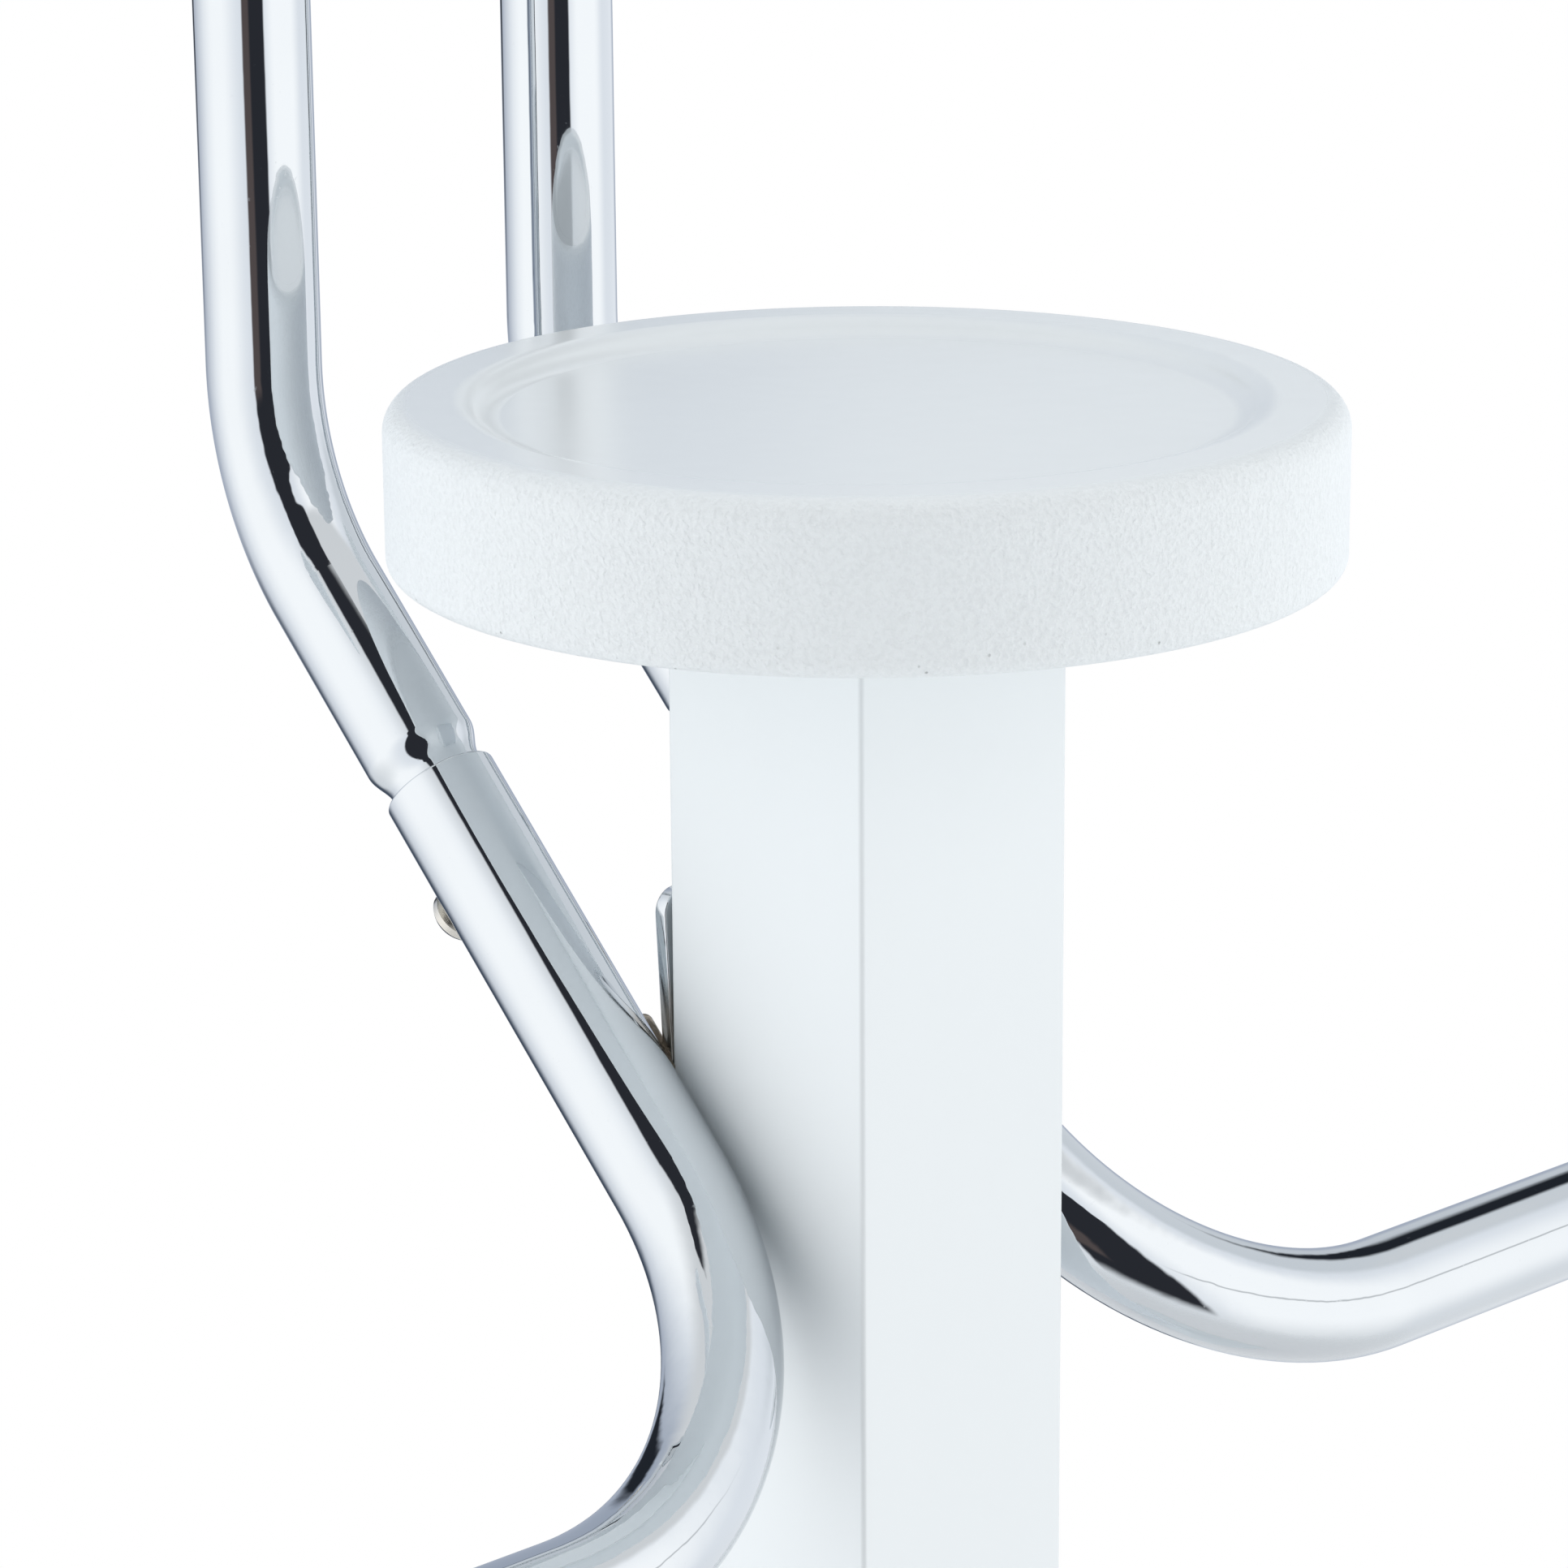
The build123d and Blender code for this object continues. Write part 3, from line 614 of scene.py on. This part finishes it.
def beech_wood(graph, settings):
    """Beech dowels: grain along them, short dark flecks and pressed flutes."""
    fibres = graph.noise(graph.coordinates(scale=(1, 1, 0.06)), 0.0004, 3.0)
    flecks = graph.noise(graph.coordinates(scale=(1, 1, 0.25)), 0.0009, 1.0).between(0.62, 0.7)
    graph.surface(
        Base_Color=graph.mix(fibres * 0.6 + flecks * 0.4, settings.beech, shade(settings.beech, 0.6)),
        Roughness=0.6,
        Normal=graph.bump(fibres, 0.00008),
    )


FINISHES = {
    "chrome_tube": tube_chrome,
    "chrome_plate": plate_chrome,
    "nickel_screw": nickel_plate,
    "zinc_steel": zinc_plate,
    "weld": weld_steel,
    "white_paint_dish": dish_paint,
    "white_paint_board": board_paint,
    "white_paint_hanger": hanger_paint,
    "white_lacquer_post": post_lacquer,
    "white_plastic": white_plastic,
    "grey_glide": grey_plastic,
    "beech": beech_wood,
}


def finish_for(context, slot):
    """The finished material for one of the record's material slots."""
    return finish_named(f"{slot}_finish", FINISHES[slot], context.scene.valet_finishes)


# ---------------------------------------------------------------- mesh helpers

class TubeSkin:
    """The outside of a tube, grown ring by ring from its first end."""

    def __init__(self, settings, start, direction):
        self.sides = settings.sides
        self.bend_steps = settings.bend_steps
        self.mesh = bmesh.new()
        self.around = self.mesh.verts.layers.float_vector.new(AROUND)
        self.bent = self.mesh.verts.layers.float.new(BENT)
        self.point = Vector(start)
        self.direction = Vector(direction).normalized()
        self.run = 0.0
        turn = self.direction.to_track_quat("Z", "Y").to_matrix().to_4x4()
        place = Matrix.Translation(self.point) @ turn
        ring = bmesh.ops.create_circle(
            self.mesh, cap_ends=False, segments=self.sides, radius=settings.radius, matrix=place,
        )["verts"]
        for corner in ring:
            spot = place.inverted() @ corner.co
            corner[self.around] = (spot.x / settings.radius, spot.y / settings.radius, 0)
        self.ring = ring

    def rim(self):
        """The edges of the last ring."""
        last = set(self.ring)
        return [e for e in self.mesh.edges if e.verts[0] in last and e.verts[1] in last]

    def take(self, ring, length, bent):
        """Makes new vertices the last ring."""
        self.ring = ring
        self.run += length
        for corner in ring:
            cosine, sine, _ = corner[self.around]
            corner[self.around] = (cosine, sine, self.run)
            corner[self.bent] = bent

    def straight(self, length, scale=1.0):
        """A straight run, with its far ring scaled about the axis."""
        made = bmesh.ops.extrude_edge_only(self.mesh, edges=self.rim())["geom"]
        ring = [item for item in made if isinstance(item, bmesh.types.BMVert)]
        bmesh.ops.translate(self.mesh, verts=ring, vec=self.direction * length)
        self.point = self.point + self.direction * length
        away = Matrix.Translation(-self.point)
        bmesh.ops.scale(self.mesh, verts=ring, vec=(scale, scale, scale), space=away)
        self.take(ring, length, 0.0)

    def bend(self, direction, radius):
        """A bend towards a new direction."""
        direction = Vector(direction).normalized()
        axis = self.direction.cross(direction).normalized()
        centre = self.point + axis.cross(self.direction) * radius
        angle = self.direction.angle(direction)
        angle_step = angle / self.bend_steps
        for step in range(1, self.bend_steps + 1):
            geometry = [*self.ring, *self.rim()]
            made = bmesh.ops.spin(
                self.mesh, geom=geometry, cent=centre, axis=axis, dvec=(0, 0, 0),
                angle=angle_step, steps=1, use_merge=False,
            )["geom_last"]
            ring = [item for item in made if isinstance(item, bmesh.types.BMVert)]
            share = step / self.bend_steps
            bent = sin(pi * share) ** 0.5 if share < 1 else 0.0
            self.take(ring, radius * angle_step, bent)
        self.point = centre + Matrix.Rotation(angle, 3, axis) @ (self.point - centre)
        self.direction = direction

    def straight_to(self, corner, direction, bend_radius):
        """A straight run towards a corner that stops where the bend into a new direction starts."""
        turn = self.direction.angle(Vector(direction))
        self.straight((Vector(corner) - self.point).length - bend_radius * tan(turn / 2))


def piece_from(mesh, name, slot, context, *nodes):
    """A piece from a bmesh: smooth, in its finish, riding on the stand and standing for CAD nodes."""
    for face in mesh.faces:
        face.smooth = True
    data = bpy.data.meshes.new(name)
    mesh.to_mesh(data)
    mesh.free()
    piece = bpy.data.objects.new(name, data)
    context.scene.collection.objects.link(piece)
    data.materials.append(finish_for(context, slot))
    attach(piece, BODY)
    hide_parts(*nodes)
    return piece


def merged_copy(name):
    """A copy of a CAD node's mesh with its loose triangles joined."""
    copy = bmesh.new()
    copy.from_mesh(frame["nodes"][name].data)
    bmesh.ops.remove_doubles(copy, verts=copy.verts, dist=MERGE_DISTANCE)
    return copy


def tube_wall(piece, settings):
    """Gives the skin of a tube its wall and rounds its cut ends."""
    wall = piece.modifiers.new("wall", "SOLIDIFY")
    wall.thickness = settings.wall
    wall.offset = -1
    lips = piece.modifiers.new("rounded lips", "BEVEL")
    lips.width = settings.lip_round
    lips.segments = 3
    lips.limit_method = "ANGLE"
    lips.angle_limit = radians(50)
    lips.harden_normals = True


def even_shading(piece):
    """Lets broad faces set the shading beside narrow rounds."""
    even = piece.modifiers.new("even shading", "WEIGHTED_NORMAL")
    even.keep_sharp = True


def face_outwards(mesh, inside_point):
    """Turns all faces outwards, judged by the face nearest a point just inside the shell."""
    bmesh.ops.recalc_face_normals(mesh, faces=mesh.faces)
    inside = Vector(inside_point)
    nearest = min(mesh.faces, key=lambda face: (face.calc_center_median() - inside).length)
    if nearest.normal.dot(nearest.calc_center_median() - inside) < 0:
        bmesh.ops.reverse_faces(mesh, faces=mesh.faces)


def turned(outline, rounds, sides, steps=6):
    """A mesh turned round +Z from half an outline of (radius, height) points, with some corners rounded."""
    mesh = bmesh.new()
    corners = [mesh.verts.new((radius, 0, height)) for radius, height in outline]
    for pair in zip(corners, corners[1:]):
        mesh.edges.new(pair)
    for index, size in rounds.items():
        bmesh.ops.bevel(
            mesh, geom=[corners[index]], affect="VERTICES", offset=size, segments=steps,
            profile=0.5, material=-1,
        )
    bmesh.ops.spin(
        mesh, geom=[*mesh.verts, *mesh.edges], cent=(0, 0, 0), axis=(0, 0, 1), dvec=(0, 0, 0),
        angle=2 * pi, steps=sides, use_merge=True,
    )
    bmesh.ops.remove_doubles(mesh, verts=mesh.verts, dist=MERGE_DISTANCE)
    bmesh.ops.recalc_face_normals(mesh, faces=mesh.faces)
    return mesh


def dress(context, *names):
    """Gives carried-over CAD nodes the finish of the slot they were packed with."""
    for name in names:
        for slot in frame["nodes"][name].material_slots:
            slot.material = finish_for(context, slot.material.name.removesuffix("_finish"))


# ---------------------------------------------------------------- places on the tube frame

class TubeRoute:
    """Corners and directions of the tube frame on one side."""

    def __init__(self, settings, side):
        rise = (UPRIGHT_Y - arm_middle.y) / tan(settings.tilt)
        self.down = Vector((0, -sin(settings.tilt), -cos(settings.tilt)))
        self.under = Vector((0, cos(settings.tilt), -sin(settings.tilt)))
        self.upper_corner = Vector((side * TUBE_X, UPRIGHT_Y, arm_middle.z + rise))
        self.lower_corner = Vector((side * TUBE_X, arm_middle.y, arm_middle.z))
        lip_from_corner = settings.upper_bend * tan(settings.tilt / 2) + settings.lip_below_bend
        self.lip = self.upper_corner + self.down * lip_from_corner
        self.arm = Vector((side, 0, 0))
        self.arm_end = Vector((side * ARM_END, arm_middle.y, arm_middle.z))


SWAGE_STEPS = 12
DOME_STEPS = 14
CAP_SPIGOT_LENGTH = 0.014
CAP_EDGE_SHARE = 0.27        # the straight edge of a cap, as a share of its height
CAP_EDGE_ROUND = 0.0003


# ---------------------------------------------------------------- operators, one for each group of pieces

class VALET_OT_upper_tube(Operator):
    """Model the upper tube: crown, uprights, bends and the swaged plugs that enter the sockets"""

    bl_idname = "valet.upper_tube"
    bl_label = "Upper tube"

    def execute(self, context):
        sizes = context.scene.valet_tubes
        route = TubeRoute(sizes, 1)
        crown_top = Vector((0, UPRIGHT_Y, CROWN_Z + TUBE_X))
        skin = TubeSkin(sizes, crown_top, (1, 0, 0))
        skin.bend((0, 0, -1), TUBE_X)
        skin.straight_to(route.upper_corner, route.down, sizes.upper_bend)
        skin.bend(route.down, sizes.upper_bend)
        shoulder_start = route.lip - route.down * (sizes.neck + sizes.shoulder)
        skin.straight((shoulder_start - skin.point).length)
        plug_radius = sizes.radius - sizes.wall - sizes.plug_clearance
        size_now = sizes.radius
        for step in range(1, SWAGE_STEPS + 1):
            share = step / SWAGE_STEPS
            size_next = sizes.radius + (plug_radius - sizes.radius) * share * share * (3 - 2 * share)
            skin.straight(sizes.shoulder / SWAGE_STEPS, size_next / size_now)
            size_now = size_next
        skin.straight(sizes.neck)
        skin.straight(sizes.plug_depth)
        geometry = [*skin.mesh.verts, *skin.mesh.edges, *skin.mesh.faces]
        bmesh.ops.mirror(skin.mesh, geom=geometry, axis="X", merge_dist=MERGE_DISTANCE * 10)
        face_outwards(skin.mesh, crown_top + Vector((0, 0, sizes.radius / 2)))
        piece = piece_from(skin.mesh, "upper_tube_chrome", "chrome_tube", context, "upper_tube")
        tube_wall(piece, sizes)
        return {"FINISHED"}


class VALET_OT_lower_tubes(Operator):
    """Model the lower tubes: socket, diagonal, bend and arm on each side"""

    bl_idname = "valet.lower_tubes"
    bl_label = "Lower tubes"

    def execute(self, context):
        sizes = context.scene.valet_tubes
        for hand, side in SIDES.items():
            route = TubeRoute(sizes, side)
            skin = TubeSkin(sizes, route.lip, route.down)
            skin.straight_to(route.lower_corner, route.arm, sizes.lower_bend)
            skin.bend(route.arm, sizes.lower_bend)
            skin.straight((route.arm_end - skin.point).length)
            face_outwards(skin.mesh, route.arm_end + Vector((0, 0, sizes.radius / 2)))
            name = f"{hand}_lower_tube"
            piece = piece_from(skin.mesh, f"{name}_chrome", "chrome_tube", context, name)
            tube_wall(piece, sizes)
        return {"FINISHED"}


class VALET_OT_arm_caps(Operator):
    """Model the domed caps in the ends of the arms"""

    bl_idname = "valet.arm_caps"
    bl_label = "Arm caps"

    def execute(self, context):
        sizes = context.scene.valet_tubes
        rim = (cap_high.z - cap_low.z) / 2
        dome = cap_high.x - ARM_END
        edge = dome * CAP_EDGE_SHARE
        spigot = sizes.radius - sizes.wall - sizes.plug_clearance
        outline = [(0, -CAP_SPIGOT_LENGTH), (spigot, -CAP_SPIGOT_LENGTH), (spigot, 0), (rim, 0), (rim, edge)]
        for step in range(1, DOME_STEPS + 1):
            turn = pi / 2 * step / DOME_STEPS
            outline.append((rim * cos(turn), edge + (dome - edge) * sin(turn)))
        cap = turned(outline, {3: CAP_EDGE_ROUND}, sizes.sides, 3)
        place = Matrix.Translation((ARM_END, arm_middle.y, arm_middle.z)) @ Matrix.Rotation(pi / 2, 4, "Y")
        bmesh.ops.transform(cap, matrix=place, verts=cap.verts)
        bmesh.ops.mirror(cap, geom=[*cap.verts, *cap.edges, *cap.faces], axis="X", merge_dist=0)
        bmesh.ops.recalc_face_normals(cap, faces=cap.faces)
        piece = piece_from(cap, "arm_caps_white", "white_plastic", context, "arm_caps")
        even_shading(piece)
        return {"FINISHED"}


class VALET_OT_dish(Operator):
    """Model the turned dish with its rounded rim and shallow recess"""

    bl_idname = "valet.dish"
    bl_label = "Dish"

    def execute(self, context):
        sizes = context.scene.valet_dish
        recess = DISH_RADIUS - sizes.rim_width
        outline = [
            (0, dish_low.z),
            (DISH_RADIUS, dish_low.z),
            (DISH_RADIUS, dish_high.z),
            (recess, dish_high.z),
            (recess - sizes.recess_slope, dish_high.z - sizes.recess_depth),
            (0, dish_high.z - sizes.recess_depth),
        ]
        soft = sizes.recess_slope * 0.58
        rounds = {1: sizes.bottom_round, 2: sizes.top_round, 3: soft, 4: soft}
        dish = turned(outline, rounds, sizes.sides, 10)
        bmesh.ops.translate(dish, verts=dish.verts, vec=DISH_CENTRE)
        piece = piece_from(dish, "dish_painted", "white_paint_dish", context, "dish")
        even_shading(piece)
        return {"FINISHED"}


class VALET_OT_post(Operator):
    """Finish the post"""

    bl_idname = "valet.post"
    bl_label = "Post"

    def execute(self, context):
        dress(context, "post")
        return {"FINISHED"}


class VALET_OT_floor_board(Operator):
    """Finish the floor board, its glides and their nails"""

    bl_idname = "valet.floor_board"
    bl_label = "Floor board"

    def execute(self, context):
        dress(context, "base_board", "floor_glides", "glide_nails")
        return {"FINISHED"}


class VALET_OT_hanger(Operator):
    """Finish the jacket hanger and what holds it to the uprights"""

    bl_idname = "valet.hanger"
    bl_label = "Hanger"

    def execute(self, context):
        dress(context, "hanger", "hanger_saddles", "hanger_bolts", "hanger_washers", "hanger_inserts")
        return {"FINISHED"}


class VALET_OT_cross_plate(Operator):
    """Model the plate behind the post with its rolled edges, and the welds that join the tubes to it"""

    bl_idname = "valet.cross_plate"
    bl_label = "Cross plate and welds"

    def execute(self, context):
        sizes = context.scene.valet_fittings
        plate = merged_copy("cross_plate")
        bmesh.ops.dissolve_limit(
            plate, angle_limit=radians(1), verts=plate.verts, edges=plate.edges, delimit={"NORMAL"},
        )
        piece = piece_from(plate, "cross_plate_rolled", "chrome_plate", context, "cross_plate")
        rolled = piece.modifiers.new("rolled edges", "BEVEL")
        rolled.width = sizes.plate_round
        rolled.segments = 6
        rolled.limit_method = "ANGLE"
        rolled.angle_limit = radians(40)
        rolled.harden_normals = True

        welds = merged_copy("weld_beads")
        grow = (1, sizes.weld_growth, sizes.weld_growth)
        raised = Vector((0, 0, sizes.weld_rise))
        for side in SIDES.values():
            bead = [corner for corner in welds.verts if corner.co.x * side > 0]
            middle = Vector((side * WELD_CENTRE.x, WELD_CENTRE.y, WELD_CENTRE.z))
            bmesh.ops.scale(welds, verts=bead, vec=grow, space=Matrix.Translation(-middle))
            bmesh.ops.translate(welds, verts=bead, vec=raised)
        piece_from(welds, "weld_beads_tinted", "weld", context, "weld_beads")
        dress(context, "plate_screws")
        return {"FINISHED"}


class VALET_OT_fixings(Operator):
    """Finish the joint screws and the fixings inside the stand"""

    bl_idname = "valet.fixings"
    bl_label = "Fixings"

    def execute(self, context):
        dress(context, "joint_screws", "joint_washers", "joint_nuts", "base_bolts", "base_washers")
        dress(context, "base_inserts", "post_insert", "dish_insert", "dish_stud", "dish_dowels")
        return {"FINISHED"}


# Light of the tent, with 1 for a white card in full light.
SIDE_WALLS = (1.35, 1.35, 1.35)          # the two lit walls
END_WALLS = (1.04, 1.07, 1.12)           # the unlit cloth in front and behind
FAR_WALL = (0.44, 0.49, 0.59)            # the dim cloth opposite the camera
SEAM = (0.50, 0.52, 0.54)                # the sewn seam along the right wall
CEILING = (0.88, 0.89, 0.90)
TABLE = (0.92, 0.945, 0.965)
BACK_CORNER = (0.76, 0.80, 0.84)
OPENING = (0.030, 0.032, 0.040)          # the slot that the camera looks in through
CAMERA_STAND = (0.115, 0.092, 0.090)     # what stands in the slot, left of the camera
FLAG = (0.020, 0.024, 0.032)             # black flags behind the stand
LOW_BACK = (0.030, 0.050, 0.085)         # the dark gap low behind the stand
SOFT_GAIN = 0.13                         # how much more light matt surfaces get than mirrors
FLOOR_COLOUR = 0.93
FLOOR_FADE_START = 0.32                  # where the floor starts to fade, as a share of its radius
SENSOR_WIDTH = 36                        # millimetres
DEGREES = 180 / pi


class VALET_OT_stage(Operator):
    """Set the camera, the light tent and the pale floor"""

    bl_idname = "valet.stage"
    bl_label = "Stage"

    def execute(self, context):
        stage = context.scene.valet_stage
        self.camera(context, stage)
        self.tent(context, stage)
        self.floor(context, stage)
        return {"FINISHED"}

    def camera(self, context, stage):
        """The camera, aimed at a point just below the dish."""
        turn, rise = stage.azimuth, stage.elevation
        right = Vector((cos(turn), sin(turn), 0))
        back = Vector((sin(turn) * cos(rise), -cos(turn) * cos(rise), sin(rise)))
        up = back.cross(right)
        aim = DISH_CENTRE + Vector((0, 0, dish_high.z + stage.aim_up)) + right * stage.aim_right
        rolled_right = right * cos(stage.roll) + up * sin(stage.roll)
        rolled_up = up * cos(stage.roll) - right * sin(stage.roll)
        axes = Matrix((rolled_right, rolled_up, back)).transposed().to_4x4()
        data = bpy.data.cameras.new("camera")
        data.sensor_width = SENSOR_WIDTH
        data.lens = stage.lens
        camera = bpy.data.objects.new("camera", data)
        camera.matrix_world = Matrix.Translation(aim + back * stage.distance) @ axes
        context.scene.collection.objects.link(camera)
        context.scene.camera = camera

    def tent(self, context, stage):
        """The light tent, by degrees of turn right from the camera and of rise above the horizon."""
        world = bpy.data.worlds.new("light_tent")
        context.scene.world = world
        graph = Graph(world)
        direction = graph.add("ShaderNodeTexCoord", {}, {}, "Generated")
        front = (sin(stage.azimuth), -cos(stage.azimuth), 0)
        right = (cos(stage.azimuth), sin(stage.azimuth), 0)
        ahead = graph.dot(direction, front)
        aside = graph.dot(direction, right)
        height = graph.parts(direction)[2]
        turn = aside.maths("ARCTAN2", aside, ahead) * DEGREES
        rise = height.maths("ARCSINE", height) * DEGREES
        left_wall = (turn * -1).inside(38, 98, 22)
        right_wall = turn.inside(34, 98, 14)
        lit = graph.mix(left_wall + right_wall, END_WALLS, SIDE_WALLS)
        far = 1 - turn.between(-160, -100) + turn.between(145, 168)
        walls = graph.mix(far, lit, FAR_WALL)
        seam = (rise - turn * 0.1).inside(5, 7, 0.6) * turn.inside(35, 100, 6)
        seamed = graph.mix(seam * 0.7, walls, SEAM)
        back_corner = turn.between(110, 125) * rise.between(-5, 12)
        cornered = graph.mix(back_corner * 0.8, seamed, BACK_CORNER)
        left_side = 1 - turn.between(-6, 6)
        roof = rise.between(30, 60) * left_side + rise.between(40, 48) * (1 - left_side)
        roofed = graph.mix(roof, cornered, CEILING)
        grounded = graph.mix(1 - rise.between(-60, -12), roofed, TABLE)
        flags = rise.inside(20, 44, 3) * turn.inside(150, 170, 4)
        flags = flags + rise.inside(-10, 28, 3) * turn.inside(-163, -147, 3)
        flagged = graph.mix(flags, grounded, FLAG)
        low_back = (1 - turn.between(-155, -120)) * rise.inside(-40, -20, 4)
        gapped = graph.mix(low_back * 0.93, flagged, LOW_BACK)
        left_edge = rise.between(30, 42) * -8 + rise.between(55, 60) * -27 - 15
        right_edge = 27.5 - rise.inside(28, 40, 4) * 12
        slot = (turn - left_edge).between(-2, 2) * (1 - (turn - right_edge).between(-2, 2))
        slot = slot * rise.between(-43, -28) * (1 - rise.between(64, 70))
        stand_share = (1 - turn.between(-4, 1)) * rise.inside(-19, -4, 3)
        looked_in = graph.mix(stand_share, OPENING, CAMERA_STAND)
        tent = graph.mix(slot, gapped, looked_in)
        soft = graph.add("ShaderNodeLightPath", {}, {}, "Is Diffuse Ray")
        strength = stage.tent_strength * (1 + soft * SOFT_GAIN)
        studio = graph.add("ShaderNodeBackground", {}, {"Color": tent, "Strength": strength})
        plain = graph.add("ShaderNodeBackground", {}, {"Color": rgba(1.0), "Strength": 1.0})
        seen = graph.add("ShaderNodeLightPath", {}, {}, "Is Camera Ray")
        both = graph.add("ShaderNodeMixShader", {}, {0: seen, 1: studio, 2: plain})
        graph.add("ShaderNodeOutputWorld", {}, {"Surface": both})

    def floor(self, context, stage):
        """A pale round floor that fades out towards its edge."""
        mesh = bmesh.new()
        bmesh.ops.create_circle(mesh, cap_ends=True, segments=128, radius=stage.floor_radius)
        data = bpy.data.meshes.new("floor")
        mesh.to_mesh(data)
        mesh.free()
        floor = bpy.data.objects.new("floor", data)
        context.scene.collection.objects.link(floor)
        material = bpy.data.materials.new("pale_floor")
        data.materials.append(material)
        graph = Graph(material)
        spots = graph.coordinates()
        across, deep, _ = graph.parts(spots)
        reach = (across * across + deep * deep) ** 0.5
        fade = reach.between(stage.floor_radius * FLOOR_FADE_START, stage.floor_radius)
        matt = graph.add("ShaderNodeBsdfDiffuse", {}, {"Color": rgba(FLOOR_COLOUR)})
        clear = graph.add("ShaderNodeBsdfTransparent", {}, {})
        both = graph.add("ShaderNodeMixShader", {}, {0: fade, 1: matt, 2: clear})
        graph.add("ShaderNodeOutputMaterial", {}, {"Surface": both})


class VALET_PT_panel(Panel):
    """Buttons and settings for the valet stand"""

    bl_label = "Valet stand"
    bl_idname = "VALET_PT_panel"
    bl_space_type = "VIEW_3D"
    bl_region_type = "UI"
    bl_category = "Valet stand"

    def draw(self, context):
        for operator in OPERATORS:
            self.layout.operator(operator.bl_idname)
        for name, group in GROUPS.items():
            box = self.layout.box()
            box.label(text=group.__doc__)
            for prop in group.__annotations__:
                box.prop(getattr(context.scene, name), prop)


GROUPS = {
    "valet_tubes": TubeSettings,
    "valet_dish": DishSettings,
    "valet_fittings": FittingSettings,
    "valet_finishes": FinishSettings,
    "valet_stage": StageSettings,
}
OPERATORS = [
    VALET_OT_stage,
    VALET_OT_upper_tube,
    VALET_OT_lower_tubes,
    VALET_OT_arm_caps,
    VALET_OT_dish,
    VALET_OT_post,
    VALET_OT_floor_board,
    VALET_OT_hanger,
    VALET_OT_cross_plate,
    VALET_OT_fixings,
]


def register():
    for kind in [*GROUPS.values(), *OPERATORS, VALET_PT_panel]:
        bpy.utils.register_class(kind)
    for name, group in GROUPS.items():
        setattr(bpy.types.Scene, name, PointerProperty(type=group))


def unregister():
    for name in GROUPS:
        delattr(bpy.types.Scene, name)
    for kind in reversed([*GROUPS.values(), *OPERATORS, VALET_PT_panel]):
        bpy.utils.unregister_class(kind)


def main():
    """Registers everything and runs the operators in order."""
    register()
    bpy.context.scene.view_settings.view_transform = "Standard"
    for operator in OPERATORS:
        group, name = operator.bl_idname.split(".")
        getattr(getattr(bpy.ops, group), name)()


if __name__ == "__main__":
    main()
